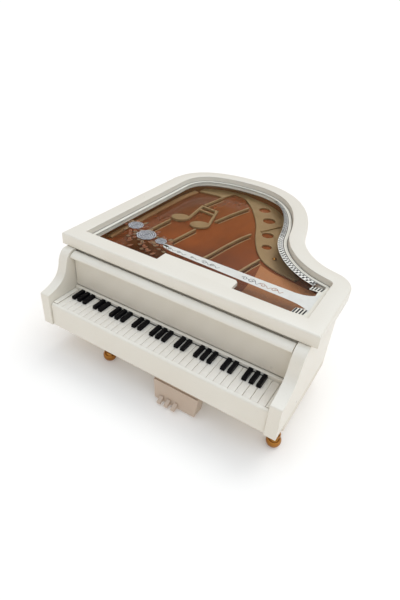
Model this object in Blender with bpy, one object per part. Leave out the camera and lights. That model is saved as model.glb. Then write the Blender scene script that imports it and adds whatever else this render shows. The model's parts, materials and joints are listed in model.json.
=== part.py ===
"""Miniature grand piano: glazed hinged lid, folding fallboard and a wind-up musical movement.

Shapes are drawn in millimetres in the piano's own layout: x runs from bass to treble, y runs back
from the lid's front edge and z runs up, with the floor at FLOOR. settle() turns each shape into
metres and moves the origin to the middle of the footprint, on the floor.
"""

import math

import bmesh
import bpy
from mathutils import Matrix, Vector

MM = 0.001
GAP = 0.3

# Plan of the lid.
HALF_WIDTH = 95.0
DEPTH = 183.6
SPINE_END = 137.0
TAIL_X = -30.0
WAIST = (46.0, 105.0)
SHOULDER = (78.0, 71.0)
CORNER_RADIUS = 16.0
CORNER_TURN = math.radians(74.3)
ARM_FRONT = -28.5
MIDDLE_Y = (ARM_FRONT + DEPTH) / 2

# Heights.
FLOOR = 1.7
LID_TOP = 85.9
LID_BOTTOM = 77.0
PANE_TOP = 81.6
PANE_THICK = 1.6
CASE_TOP = 76.6
CASE_BOTTOM = 26.7
TRAY_LEDGE = 68.1
TRAY_TOP = 71.4
TRAY_BRIM = 75.6
TRAY_INNER = 10.2
PLATE_TOP = 72.9
STRUT_TOP = 73.3
BASE_TOP = CASE_BOTTOM - GAP
BASE_BOTTOM = 20.3
BASE_FLOOR = 22.8

# Insets from the lid's edge.
FRAME_WIDTH = 11.9
PANE_LEDGE = 14.2
CASE_OUTER = 3.6
TRAY_WALL = 8.6
LOWER_WALL = 11.0

# Keyboard.
ARM_INNER = 83.9
WELL_BACK = 3.6
WELL_FIT = ARM_INNER - GAP
SLIP_FRONT = -27.1
SLIP_BACK = -24.9
SLIP_TOP = 45.0
SLIP_ROUND = 1.8
KEY_PITCH = 4.875
WHITE_KEYS = 33
KEYS_FRONT = -24.5
KEYS_BACK = -3.4
KEY_TOP = 44.5
KEY_UNDER = 40.4
KEY_GROOVE = (0.35, 0.7)
SHARP_FRONT = -13.9
SHARP_TOP = 46.9
SHARP_WIDTH = 3.15
SHARPS_AFTER = (0, 1, 2, 4, 5)
FALL_AXIS = (-0.3, 50.1)
FALL_HALF = 83.3
FALL_PIN = 0.8

# Lid hinges.
HINGE_AXIS = (-93.2, 75.4)
HINGE_PLACES = {"front": 35.0, "rear": 115.0}
HINGE_HALF = 10.0
KNUCKLE_RADIUS = 1.25
HINGE_PIN = 0.5

# Feet and pedals.
FEET = {"front_left": (-46.3, -11.4), "front_right": (86.4, -11.4), "tail": (-46.3, 150.0)}
FOOT_STUD = 1.5
BASE_FRONT = -14.5
LYRE_FRONT = -23.8
SCREW_PLACES = ((87.7, 30.0), (-87.7, 22.0), (-87.7, 110.0), (-35.0, 176.2))
PEDAL_MIDDLE = 15.6
PEDAL_PITCH = 5.6

# Musical movement.
BARREL = (-58.0, 72.0)
BARREL_RADIUS = 13.5
BARREL_BOTTOM = 26.2
BARREL_TOP = 38.0
CROWN_TEETH = 36
CROWN_INNER = 11.8
CROWN_OUTER = 13.2
CROWN_TOP = 39.6
CROWN_TOOTH = 0.5
ARBOR_Z = 43.18
PINION_TEETH = 12
GEAR_TEETH = 32
FAN_TEETH = 8
FAN_Y = BARREL[1] - 12.62
SHAFT = 1.2
DRUM = (-41.0, -12.0, 8.0)
BED = (-76.0, -5.0, 48.0, 98.0)
BED_TOP = 25.6

MATERIALS = {
    "ivory": ((0.86, 0.83, 0.76), 0.28, 0.0),
    "ivory_shade": ((0.80, 0.76, 0.68), 0.35, 0.0),
    "white_key": ((0.90, 0.88, 0.82), 0.30, 0.0),
    "black_key": ((0.012, 0.012, 0.015), 0.25, 0.0),
    "tan": ((0.66, 0.54, 0.42), 0.45, 0.0),
    "glass": ((0.85, 0.92, 0.90), 0.03, 0.0),
    "walnut": ((0.23, 0.07, 0.03), 0.15, 0.0),
    "gold": ((0.72, 0.50, 0.26), 0.35, 0.6),
    "bright_gold": ((0.80, 0.52, 0.16), 0.18, 1.0),
    "brass": ((0.72, 0.55, 0.25), 0.30, 1.0),
    "steel": ((0.60, 0.60, 0.62), 0.28, 1.0),
}


# ---------------------------------------------------------------- drawing helpers


def clear_scene():
    """Remove whatever the startup file holds."""
    for obj in list(bpy.data.objects):
        bpy.data.objects.remove(obj)


def material(name):
    """The named Principled material, made once."""
    found = bpy.data.materials.get(name)
    if found:
        return found
    colour, roughness, metallic = MATERIALS[name]
    made = bpy.data.materials.new(name)
    made.use_nodes = True
    shader = made.node_tree.nodes["Principled BSDF"]
    shader.inputs["Base Color"].default_value = (*colour, 1.0)
    shader.inputs["Roughness"].default_value = roughness
    shader.inputs["Metallic"].default_value = metallic
    return made


def as_object(name, mesh):
    """Link a finished bmesh to the scene, with its faces pointing out."""
    bmesh.ops.recalc_face_normals(mesh, faces=mesh.faces)
    data = bpy.data.meshes.new(name)
    mesh.to_mesh(data)
    mesh.free()
    obj = bpy.data.objects.new(name, data)
    bpy.context.scene.collection.objects.link(obj)
    return obj


def extrude(name, outline, low, high, axis="z"):
    """Prism of a flat outline: (x, y) along z, (y, z) along x, or (x, z) along y."""
    place = {
        "z": lambda a, b, c: (a, b, c),
        "x": lambda a, b, c: (c, a, b),
        "y": lambda a, b, c: (a, c, b),
    }[axis]
    mesh = bmesh.new()
    rings = [[mesh.verts.new(place(a, b, c)) for a, b in outline] for c in (low, high)]
    count = len(outline)
    for i in range(count):
        j = (i + 1) % count
        mesh.faces.new((rings[0][i], rings[0][j], rings[1][j], rings[1][i]))
    mesh.faces.new(rings[0])
    mesh.faces.new(rings[1])
    return as_object(name, mesh)


def box(name, x, y, z):
    """Block between two x, two y and two z values."""
    corners = ((x[0], y[0]), (x[1], y[0]), (x[1], y[1]), (x[0], y[1]))
    return extrude(name, corners, z[0], z[1])


def turned(name, profile, place, axis="z", segments=20, closed=False):
    """Turn (radius, height) points about an axis; radius 0 makes a pole."""
    turn = {
        "z": Matrix.Identity(3),
        "x": Matrix(((0, 0, 1), (0, 1, 0), (-1, 0, 0))),
        "y": Matrix(((1, 0, 0), (0, 0, 1), (0, -1, 0))),
    }[axis]
    mesh = bmesh.new()
    rings = []
    for radius, height in profile:
        if radius == 0:
            rings.append([mesh.verts.new(turn @ Vector((0, 0, height)) + Vector(place))])
            continue
        ring = []
        for step in range(segments):
            angle = math.tau * step / segments
            point = Vector((radius * math.cos(angle), radius * math.sin(angle), height))
            ring.append(mesh.verts.new(turn @ point + Vector(place)))
        rings.append(ring)
    pairs = list(zip(rings, rings[1:]))
    if closed:
        pairs.append((rings[-1], rings[0]))
    for low, high in pairs:
        for i in range(segments):
            j = (i + 1) % segments
            corners = (low[i % len(low)], low[j % len(low)], high[j % len(high)], high[i % len(high)])
            mesh.faces.new(dict.fromkeys(corners))
    return as_object(name, mesh)


def rod(name, place, radius, start, end, axis="z", segments=12):
    """Plain round bar along an axis, from start to end along it."""
    profile = ((0, start), (radius, start), (radius, end), (0, end))
    return turned(name, profile, place, axis, segments)


def combine(target, tool, operation):
    """Join a tool to the target, or cut it away, and drop the tool."""
    modifier = target.modifiers.new("Shape", "BOOLEAN")
    modifier.operation = operation
    modifier.solver = "EXACT"
    modifier.object = tool
    bpy.context.view_layer.update()
    graph = bpy.context.evaluated_depsgraph_get()
    shaped = bpy.data.meshes.new_from_object(target.evaluated_get(graph))
    target.modifiers.clear()
    target.data = shaped
    bpy.data.objects.remove(tool)
    return target


def cut(target, *tools):
    """Cut each tool out of the target."""
    for tool in tools:
        combine(target, tool, "DIFFERENCE")
    return target


def join(target, *tools):
    """Weld each tool onto the target."""
    for tool in tools:
        combine(target, tool, "UNION")
    return target


def gather(name, pieces):
    """Put pieces that don't touch into one object."""
    mesh = bmesh.new()
    for piece in pieces:
        mesh.from_mesh(piece.data)
        bpy.data.objects.remove(piece)
    return as_object(name, mesh)


def settle(obj, finish, pivot=(0.0, MIDDLE_Y, FLOOR), smooth=None):
    """Turn the drawing into metres about its pivot, and give it its material."""
    layout = Vector((0.0, MIDDLE_Y, FLOOR))
    obj.data.transform(Matrix.Scale(MM, 4) @ Matrix.Translation(-Vector(pivot)))
    obj.location = (Vector(pivot) - layout) * MM
    obj.data.materials.clear()
    obj.data.materials.append(material(finish))
    if smooth:
        obj.data.shade_smooth()
        obj.data.set_sharp_from_angle(angle=math.radians(smooth))
    return obj


# ---------------------------------------------------------------- outlines


def bezier(start, pull_start, pull_end, end, steps):
    """Points and directions along a cubic curve, without its last point."""
    corners = [Vector(point) for point in (start, pull_start, pull_end, end)]
    found = []
    for step in range(steps):
        t = step / steps
        s = 1 - t
        weights = (s**3, 3 * s * s * t, 3 * s * t * t, t**3)
        slopes = (-3 * s * s, 3 * s * (s - 2 * t), 3 * t * (2 * s - t), 3 * t * t)
        point = sum((w * c for w, c in zip(weights, corners)), Vector((0, 0)))
        slope = sum((w * c for w, c in zip(slopes, corners)), Vector((0, 0)))
        found.append((point, slope.normalized()))
    return found


def rounded_side():
    """The treble corner, bentside and tail, as points and directions, from right to left."""
    centre = Vector((HALF_WIDTH - CORNER_RADIUS, 54.1))
    side = []
    for step in range(6):
        angle = CORNER_TURN * step / 5
        out = Vector((math.cos(angle), math.sin(angle)))
        side.append((centre + out * CORNER_RADIUS, Vector((-out.y, out.x))))
    along = Vector((-0.962, 0.271))
    down = Vector((-0.218, 0.976))
    shoulder, waist = Vector(SHOULDER), Vector(WAIST)
    tail, spine = Vector((TAIL_X, DEPTH)), Vector((-HALF_WIDTH, SPINE_END))
    side += bezier(shoulder, shoulder + along * 16, waist - down * 15, waist, 7)
    side += bezier(waist, waist + down * 50, tail + Vector((42, 0)), tail, 11)
    side += bezier(tail, tail - Vector((38, 0)), spine + Vector((0, 33)), spine, 11)
    side.append((spine, Vector((0, -1))))
    return side


def outline(inset, front):
    """The piano's plan, counter-clockwise, drawn in by inset and cut straight at front."""
    points = [(inset - HALF_WIDTH, front), (HALF_WIDTH - inset, front)]
    for point, along in rounded_side():
        out = Vector((along.y, -along.x))
        moved = point - out * inset
        points.append((moved.x, moved.y))
    return points


def swept_frame(name, section):
    """Closed frame round the plan: section is a loop of (inset, height) points."""
    mesh = bmesh.new()
    rings = []
    for inset, height in section:
        rings.append([mesh.verts.new((x, y, height)) for x, y in outline(inset, inset)])
    count = len(rings[0])
    for k, ring in enumerate(rings):
        after = rings[(k + 1) % len(rings)]
        for i in range(count):
            j = (i + 1) % count
            mesh.faces.new((ring[i], ring[j], after[j], after[i]))
    return as_object(name, mesh)


def smooth_path(knots, steps):
    """Catmull-Rom curve through the knots."""
    points = [Vector(knot) for knot in knots]
    padded = [2 * points[0] - points[1], *points, 2 * points[-1] - points[-2]]
    found = []
    for a, b, c, d in zip(padded, padded[1:], padded[2:], padded[3:]):
        for step in range(steps):
            t = step / steps
            spot = 2 * b + (c - a) * t + (2 * a - 5 * b + 4 * c - d) * t * t
            found.append((spot + (3 * b - a - 3 * c + d) * t**3) / 2)
    found.append(points[-1])
    return found


def strip(path, width):
    """Outline of a bar of constant width along a path."""
    left, right = [], []
    for i, point in enumerate(path):
        along = (path[min(i + 1, len(path) - 1)] - path[max(i - 1, 0)]).normalized()
        side = Vector((-along.y, along.x)) * (width / 2)
        left.append(tuple(point + side))
        right.append(tuple(point - side))
    return left + right[::-1]


def ellipse(centre, long, short, tilt, segments):
    """Outline of a tilted ellipse."""
    points = []
    for step in range(segments):
        angle = math.tau * step / segments
        a, b = long * math.cos(angle), short * math.sin(angle)
        x = centre[0] + a * math.cos(tilt) - b * math.sin(tilt)
        y = centre[1] + a * math.sin(tilt) + b * math.cos(tilt)
        points.append((x, y))
    return points


def toothed(teeth, root, tip, thick, turn):
    """Outline of a toothed wheel about (0, 0), with a tooth at the angle turn."""
    points = []
    for tooth in range(teeth):
        middle = turn + math.tau * tooth / teeth
        for radius, side in ((root, -1), (tip, -1), (tip, 1), (root, 1)):
            angle = middle + side * thick / 2 / radius
            points.append((radius * math.cos(angle), radius * math.sin(angle)))
    return points


# ---------------------------------------------------------------- lid


def lid_frame():
    """Moulded frame round the window, with a ledge for the pane and a tab at the front."""
    section = (
        (0.6, LID_BOTTOM),
        (0.0, LID_BOTTOM + 0.6),
        (0.0, LID_TOP - 1.4),
        (0.45, LID_TOP - 0.45),
        (1.4, LID_TOP),
        (FRAME_WIDTH - 0.4, LID_TOP),
        (FRAME_WIDTH, LID_TOP - 0.4),
        (FRAME_WIDTH, PANE_TOP - PANE_THICK - GAP),
        (PANE_LEDGE, PANE_TOP - PANE_THICK - GAP),
        (PANE_LEDGE, LID_BOTTOM),
    )
    frame = swept_frame("lid_frame", section)
    tab = ((-22.5, 9.0), (33.4, 9.0), (33.4, 21.1), (31.6, 22.9), (-22.5, 22.9))
    join(frame, extrude("tab", tab, PANE_TOP + 0.4, LID_TOP - 0.5))
    return settle(frame, "ivory", lid_pivot(), smooth=40)


def lid_pivot():
    """A point on the lid's hinge axis."""
    return (HINGE_AXIS[0], MIDDLE_Y, HINGE_AXIS[1])


def window_pane():
    """Clear pane that sits on the frame's ledge."""
    inset = FRAME_WIDTH + GAP
    pane = extrude("window_pane", outline(inset, inset), PANE_TOP - PANE_THICK, PANE_TOP)
    return settle(pane, "glass", lid_pivot())


def knuckle(name, start, end, tail):
    """Hinge knuckle along y with its leaf, given as the leaf's x and z ranges, and its pin hole."""
    x, z = HINGE_AXIS
    tube = rod(name, (x, 0, z), KNUCKLE_RADIUS, start, end, "y", 12)
    join(tube, box("leaf", tail[0], (start, end), tail[1]))
    return cut(tube, rod("hole", (x, 0, z), HINGE_PIN + GAP, start - 1, end + 1, "y", 12))


def lid_hinge(place, middle):
    """Butt hinge on the spine: a leaf under the lid, a leaf on the case and a pin."""
    x, z = HINGE_AXIS
    third = 3.2
    upper = ((x + 0.2, -82.5), (76.05, 76.6))
    lid_leaf = knuckle(f"lid_hinge_{place}_lid_leaf", middle - third, middle + third, upper)
    settle(lid_leaf, "brass", lid_pivot(), smooth=40)
    lower = ((-92.3, -91.7), (71.0, z))
    first = knuckle(
        f"lid_hinge_{place}_case_leaf", middle - HINGE_HALF, middle - third - 0.4, lower
    )
    second = knuckle("second", middle + third + 0.4, middle + HINGE_HALF, lower)
    plate = box("plate", lower[0], (middle - HINGE_HALF + 0.5, middle + HINGE_HALF - 0.5), (66.0, 73.4))
    join(first, second, plate)
    settle(first, "brass", smooth=40)
    pin = rod(f"lid_hinge_{place}_pin", (x, middle, z), HINGE_PIN, -9.7, 9.7, "y", 10)
    settle(pin, "steel", lid_pivot(), smooth=40)


# ---------------------------------------------------------------- case


def arm_curve():
    """Side view of an arm's top, from under the lid down to its front edge."""
    top = bezier((-1.9, CASE_TOP), (-5.5, CASE_TOP), (-8.4, 72.0), (-9.2, 67.5), 6)
    sweep = bezier((-9.2, 67.5), (-10.8, 58.6), (-16.0, 54.2), (-28.0, 51.8), 9)
    points = [tuple(point) for point, _ in top + sweep]
    return points + [(-28.0, 51.8), (ARM_FRONT, 51.1)]


def case_rim():
    """Case wall with both arms, the tray ledge and the recess for the keyboard."""
    case = extrude("case_rim", outline(CASE_OUTER, ARM_FRONT), CASE_BOTTOM, CASE_TOP)
    above, ahead = CASE_TOP + 10, ARM_FRONT - 10
    waste = [(-1.9, above), (ahead, above), (ahead, 51.1)]
    waste += arm_curve()[::-1]
    wide = HALF_WIDTH + 5
    cut(
        case,
        extrude("shaft", outline(LOWER_WALL, TRAY_WALL), CASE_BOTTOM - 5, above),
        extrude("tray", outline(TRAY_WALL, TRAY_WALL), TRAY_LEDGE, above),
        box("well", (-ARM_INNER, ARM_INNER), (ahead, WELL_BACK), (CASE_BOTTOM - 5, above)),
        extrude("arm_cut", waste, -wide, wide, "x"),
    )
    fall_y, fall_z = FALL_AXIS
    reach = ARM_INNER + 2.6
    pin_hole = FALL_PIN + GAP
    cut(case, rod("pins", (0, fall_y, fall_z), pin_hole, -reach, reach, "x", 12))
    for middle in HINGE_PLACES.values():
        span = (middle - HINGE_HALF - 0.5, middle + HINGE_HALF + 0.5)
        cut(case, box("notch", (-HALF_WIDTH, -84.0), span, (75.5, above)))
    for x, y in SCREW_PLACES:
        cut(case, rod("hole", (x, y, 0), 1.3, CASE_BOTTOM - 5, 37.0, "z", 10))
    return settle(case, "ivory", smooth=30)


def base_plate():
    """Bottom cover with a raised rim, screw holes, foot sockets and the key's hole."""
    base = extrude("base_plate", outline(CASE_OUTER, BASE_FRONT), BASE_BOTTOM, BASE_TOP)
    recess_front = BASE_FRONT + 7
    cut(base, extrude("recess", outline(LOWER_WALL, recess_front), BASE_FLOOR, BASE_TOP + 5))
    under = BASE_BOTTOM - 5
    for x, y in SCREW_PLACES:
        cut(base, rod("hole", (x, y, 0), 1.4, under, BASE_TOP + 5, "z", 10))
        cut(base, rod("seat", (x, y, 0), 2.4, under, BASE_BOTTOM + 2.0, "z", 12))
    for x, y in FEET.values():
        cut(base, rod("socket", (x, y, 0), FOOT_STUD + GAP, under, BASE_BOTTOM + 1.8, "z", 12))
    cut(base, rod("key_hole", (*BARREL, 0), 2.6, under, BASE_TOP + 5, "z", 14))
    return settle(base, "ivory_shade", smooth=30)


def base_screws():
    """Screws that hold the bottom cover, heads sunk into it."""
    seat = BASE_BOTTOM + 0.2
    profile = ((0, seat), (2.0, seat), (2.0, seat + 1.5), (1.0, seat + 1.5), (1.0, 35.0), (0, 35.0))
    for number, (x, y) in enumerate(SCREW_PLACES, 1):
        screw = turned(f"base_screw_{number}", profile, (x, y, 0), "z", 10)
        settle(screw, "steel", smooth=40)


def foot(place, spot):
    """Turned ball foot with a collar, a neck, a flange and a stud."""
    profile = (
        (0, FLOOR),
        (2.6, FLOOR),
        (4.1, FLOOR + 0.9),
        (4.9, FLOOR + 2.6),
        (5.0, FLOOR + 4.0),
        (4.6, FLOOR + 5.7),
        (3.7, FLOOR + 7.1),
        (2.7, FLOOR + 8.0),
        (3.7, FLOOR + 9.0),
        (3.7, FLOOR + 10.4),
        (2.3, FLOOR + 11.6),
        (2.1, 17.4),
        (3.2, 18.8),
        (4.2, 19.2),
        (4.2, BASE_BOTTOM - GAP),
        (FOOT_STUD, BASE_BOTTOM - GAP),
        (FOOT_STUD, BASE_BOTTOM + 1.5),
        (0, BASE_BOTTOM + 1.5),
    )
    made = turned(f"foot_{place}", profile, (*spot, 0), "z", 18)
    return settle(made, "bright_gold", smooth=40)


def pedal_lyre():
    """Pedal box under the keyboard, stepped back at its top."""
    box_side = ((4.0, 3.6), (35.4, 3.6), (37.3, 20.2), (3.0, 20.2))
    top_side = ((3.0, 19.6), (37.2, 19.6), (37.8, 26.4), (2.6, 26.4))
    lyre = extrude("pedal_lyre", box_side, LYRE_FRONT, BASE_FRONT - GAP, "y")
    join(lyre, extrude("top", top_side, LYRE_FRONT + 1.2, BASE_FRONT - GAP - 0.2, "y"))
    return settle(lyre, "tan")


def pedal(name, middle):
    """One moulded pedal that slopes down to a rounded nose."""
    root = LYRE_FRONT - GAP
    side = [(root, 4.4), (-27.9, 4.0), (-28.4, 4.5), (-28.4, 5.4), (-27.9, 6.1), (root, 8.2)]
    made = extrude(name, side, middle - 1.4, middle + 1.4, "x")
    return settle(made, "tan")


# ---------------------------------------------------------------- keyboard


def key_slip():
    """Board in front of the keys, rounded along its top edge."""
    side = [(SLIP_BACK, CASE_BOTTOM), (SLIP_FRONT, CASE_BOTTOM)]
    for step in range(6):
        angle = math.pi - step * math.pi / 10
        y = SLIP_FRONT + SLIP_ROUND + SLIP_ROUND * math.cos(angle)
        side.append((y, SLIP_TOP - SLIP_ROUND + SLIP_ROUND * math.sin(angle)))
    side.append((SLIP_BACK, SLIP_TOP))
    slip = extrude("key_slip", side, -WELL_FIT, WELL_FIT, "x")
    return settle(slip, "ivory", smooth=30)


def key_bed():
    """Shelf under the keys."""
    back = WELL_BACK - GAP
    bed = box("key_bed", (-WELL_FIT, WELL_FIT), (SLIP_BACK + GAP, back), (36.0, KEY_UNDER - GAP))
    return settle(bed, "ivory_shade")


def white_keys():
    """One moulded strip of white keys, parted by grooves."""
    half = WHITE_KEYS * KEY_PITCH / 2
    width, deep = KEY_GROOVE
    front = [(half, KEY_UNDER), (-half, KEY_UNDER), (-half, KEY_TOP)]
    for key in range(1, WHITE_KEYS):
        x = key * KEY_PITCH - half
        low, high = x - width / 2, x + width / 2
        front += [(low, KEY_TOP), (low, KEY_TOP - deep), (high, KEY_TOP - deep), (high, KEY_TOP)]
    front.append((half, KEY_TOP))
    keys = extrude("white_keys", front, KEYS_FRONT, KEYS_BACK, "y")
    return settle(keys, "white_key")


def black_keys():
    """The sharps, in twos and threes, moulded on one strip along their back."""
    half = WHITE_KEYS * KEY_PITCH / 2
    low, wide, taper = KEY_TOP + GAP, SHARP_WIDTH / 2, 0.25
    sharps = []
    for key in range(WHITE_KEYS - 1):
        if key % 7 not in SHARPS_AFTER:
            continue
        x = (key + 1) * KEY_PITCH - half
        block = bmesh.new()
        bottom = ((x - wide, SHARP_FRONT), (x + wide, SHARP_FRONT), (x + wide, -3.6), (x - wide, -3.6))
        top = (
            (x - wide + taper, SHARP_FRONT + 0.8),
            (x + wide - taper, SHARP_FRONT + 0.8),
            (x + wide - taper, -3.6),
            (x - wide + taper, -3.6),
        )
        lower = [block.verts.new((*point, low)) for point in bottom]
        upper = [block.verts.new((*point, SHARP_TOP)) for point in top]
        block.faces.new(lower)
        block.faces.new(upper)
        for i in range(4):
            j = (i + 1) % 4
            block.faces.new((lower[i], lower[j], upper[j], upper[i]))
        sharps.append(as_object("sharp", block))
    ends = (KEY_PITCH - half - wide, (WHITE_KEYS - 2) * KEY_PITCH - half + wide)
    strip_along = box("black_keys", ends, (-4.4, -3.4), (low + 0.1, low + 0.7))
    return settle(join(strip_along, gather("sharps", sharps)), "black_key")


def key_block(name, side):
    """Filler between the last key and an arm, sloping up to the arm."""
    inner = WHITE_KEYS * KEY_PITCH / 2 + GAP
    front = [
        (side * inner, KEY_UNDER),
        (side * WELL_FIT, KEY_UNDER),
        (side * WELL_FIT, KEY_TOP + 1.0),
        (side * inner, KEY_TOP + 0.3),
    ]
    made = extrude(name, front, KEYS_FRONT, KEYS_BACK, "y")
    return settle(made, "ivory")


def back_rail():
    """Rail behind the keys, under the fallboard."""
    side = [(-3.1, KEY_UNDER), (-0.9, KEY_UNDER), (-0.9, 47.3), (-2.7, 47.3), (-3.1, 46.9)]
    rail = extrude("back_rail", side, -WELL_FIT, WELL_FIT, "x")
    return settle(rail, "ivory")


def fallboard():
    """Folding panel with a rounded nose and a moulded pivot pin at each end."""
    side = [(-1.4, 48.6), (-1.0, 47.9), (-0.2, 47.7), (0.6, 47.9), (1.0, 48.6), (1.0, 74.4), (0.4, 75.2)]
    nose = bezier((-0.6, 75.4), (-3.0, 75.2), (-5.0, 74.0), (-5.3, 72.4), 6)
    side += [tuple(point) for point, _ in nose]
    side += [(-5.3, 72.4), (-5.1, 71.7), (-4.4, 71.3), (-2.2, 70.9), (-1.4, 70.1)]
    panel = extrude("fallboard", side, -FALL_HALF, FALL_HALF, "x")
    y, z = FALL_AXIS
    reach = ARM_INNER + 2.2
    join(panel, rod("pin", (0, y, z), FALL_PIN, -reach, reach, "x", 12))
    return settle(panel, "ivory", (0.0, y, z), smooth=40)


# ---------------------------------------------------------------- inside the tray


def soundboard():
    """Glossy brown tray under the window, on the case's ledge."""
    inset = TRAY_WALL + GAP
    board = extrude("soundboard", outline(inset, inset), TRAY_LEDGE + GAP, TRAY_BRIM)
    hollow = outline(TRAY_INNER, TRAY_INNER)
    cut(board, extrude("hollow", hollow, TRAY_TOP, TRAY_BRIM + 5))
    return settle(board, "walnut")


def harp_plate():
    """Gold plate along the bentside and tail, with round holes."""
    side = outline(12.2, 12.2)
    bend = outline(14.4, 14.4)
    tail = outline(TRAY_INNER + 0.8, TRAY_INNER + 0.8)
    outer = [point for point in side if point[0] < 60 and 60 < point[1] < 92]
    outer += [point for point in bend if point[0] > -24 and point[1] > 97]
    outer += [point for point in tail if -75 < point[0] < -34 and point[1] > 150]
    knots = ((-46.4, 168.5), (-35.1, 165.5), (-24.3, 155.5), (-14.2, 142.5), (-4.0, 126.5))
    knots += ((2.7, 113.0), (8.6, 100.0), (15.9, 87.0), (23.6, 77.0), (31.5, 70.5), (43.0, 65.8))
    inner = [(-75.0, 152.0), (-62.7, 153.8), (-49.8, 154.2)]
    inner += [tuple(point) for point in smooth_path(knots + ((57.0, 63.0),), 2)]
    low = TRAY_TOP + GAP
    plate = extrude("harp_plate", outer + inner, low, PLATE_TOP)
    holes = ((-8.2, 153.3, 5.2), (3.9, 136.0, 5.3), (13.9, 111.5, 4.8), (21.5, 93.4, 3.9))
    for x, y, radius in holes:
        cut(plate, rod("hole", (x, y, 0), radius, low - 3, low + 5, "z", 18))
    return settle(plate, "gold", smooth=30)


def strut(name, knots, low=TRAY_TOP + GAP, high=STRUT_TOP, width=1.5):
    """Gold bar standing on the soundboard along a curve."""
    path = smooth_path(knots, 3) if len(knots) > 2 else [Vector(knot) for knot in knots]
    made = extrude(name, strip(path, width), low, high)
    return settle(made, "gold", smooth=30)


def harp_struts():
    """Bars that fan out under the window."""
    strut("spine_band", ((-81.6, 34.0), (-81.0, 90.0), (-80.0, 130.0), (-77.3, 150.5)), high=72.6, width=4.4)
    strut("strut_bass_front", ((-64.8, 50.0), (-61.9, 86.0)))
    strut("strut_bass_rear", ((-54.6, 127.6), (-50.2, 153.0)))
    strut("strut_tenor_front", ((-40.4, 50.0), (-38.6, 66.0), (-36.4, 84.0)))
    strut("strut_tenor_rear", ((-31.2, 105.5), (-26.8, 127.0), (-21.2, 147.5)))
    strut("strut_middle", ((-8.2, 48.0), (-6.2, 60.0), (-4.1, 75.5), (-1.0, 92.0), (2.6, 104.5)))
    strut("strut_middle_on_plate", ((7.2, 112.8), (10.8, 120.0), (16.6, 131.5)), 73.2, 74.0, 1.4)
    strut("strut_treble", ((20.8, 47.0), (22.8, 60.0), (25.4, 73.0)))


def note_emblem():
    """Pair of beamed notes standing on the soundboard."""
    low, high = TRAY_TOP + GAP, STRUT_TOP + 0.2
    note = extrude("note_emblem", ellipse((-58.0, 94.3), 7.4, 5.4, 0.5, 18), low, high)
    bars = (
        ((-51.5, 95.5), (-55.0, 124.4)),
        ((-31.9, 96.5), (-39.9, 123.9)),
        ((-56.0, 124.6), (-38.8, 123.3)),
        ((-54.8, 117.6), (-37.2, 115.7)),
    )
    for lift, (start, end) in enumerate(bars):
        # Each bar stands a shade lower than the last, so that no two tops are flush.
        top = high - 0.07 - 0.05 * lift
        bar = strip([Vector(start), Vector(end)], 2.0)
        join(note, extrude("bar", bar, low + 0.04 * (lift + 1), top))
    join(note, extrude("head", ellipse((-38.2, 92.9), 8.0, 5.7, 0.5, 18), low + 0.3, high - 0.3))
    return settle(note, "gold", smooth=30)


def tuning_block():
    """Raised brown panel at the treble end of the tray."""
    plan = ((35.0, 11.5), (83.5, 11.5), (83.5, 52.5), (70.0, 57.0), (40.0, 61.5), (29.5, 66.0), (33.0, 49.0))
    low = TRAY_TOP + GAP
    block = extrude("tuning_block", plan, low, low + 1.5)
    return settle(block, "walnut")


def harp_screw():
    """Domed screw on the gold plate."""
    low = PLATE_TOP + GAP
    profile = ((0, low), (1.5, low), (1.5, low + 0.3), (0.9, low + 0.9), (0, low + 1.1))
    screw = turned("harp_screw", profile, (34.0, 80.0, 0), "z", 12)
    return settle(screw, "bright_gold", smooth=40)


# ---------------------------------------------------------------- musical movement


def movement_bed():
    """Cast bedplate of the movement, with the winding arbor's hole."""
    bed = box("movement_bed", BED[:2], BED[2:], (BASE_FLOOR + GAP, BED_TOP))
    cut(bed, rod("hole", (*BARREL, 0), 2.5, BASE_FLOOR - 3, BED_TOP + 3, "z", 14))
    return settle(bed, "brass")


def spring_barrel():
    """Drum over the mainspring, open below, with a crown of teeth on top."""
    profile = ((BARREL_RADIUS, BARREL_BOTTOM), (BARREL_RADIUS, BARREL_TOP), (2.6, BARREL_TOP))
    profile += ((2.6, BARREL_TOP - 1.2), (12.5, BARREL_TOP - 1.2), (12.5, BARREL_BOTTOM))
    barrel = turned("spring_barrel", profile, (*BARREL, 0), "z", 36, closed=True)
    teeth = []
    for tooth in range(CROWN_TEETH):
        angle = math.tau * (tooth + 0.5) / CROWN_TEETH
        out = Vector((math.cos(angle), math.sin(angle)))
        middle = Vector(BARREL)
        bar = strip([middle + out * CROWN_INNER, middle + out * CROWN_OUTER], CROWN_TOOTH)
        teeth.append(extrude("tooth", bar, BARREL_TOP - 0.6, CROWN_TOP))
    join(barrel, gather("crown", teeth))
    return settle(barrel, "brass", (*BARREL, 0.0), smooth=30)


def mainspring():
    """Flat spiral spring inside the drum."""
    turns, steps = 3.5, 14
    path = []
    for step in range(int(turns * steps) + 1):
        angle = math.tau * step / steps
        radius = 3.6 + 8.0 * step / (turns * steps)
        path.append(Vector(BARREL) + radius * Vector((math.cos(angle), math.sin(angle))))
    spring = extrude("mainspring", strip(path, 0.8), 27.0, 36.2)
    return settle(spring, "steel", (*BARREL, 0.0), smooth=30)


def winding_arbor():
    """Shaft from the key up through the drum."""
    arbor = rod("winding_arbor", (*BARREL, 0), 2.0, 13.5, 37.4, "z", 14)
    return settle(arbor, "steel", (*BARREL, 0.0), smooth=40)


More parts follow.
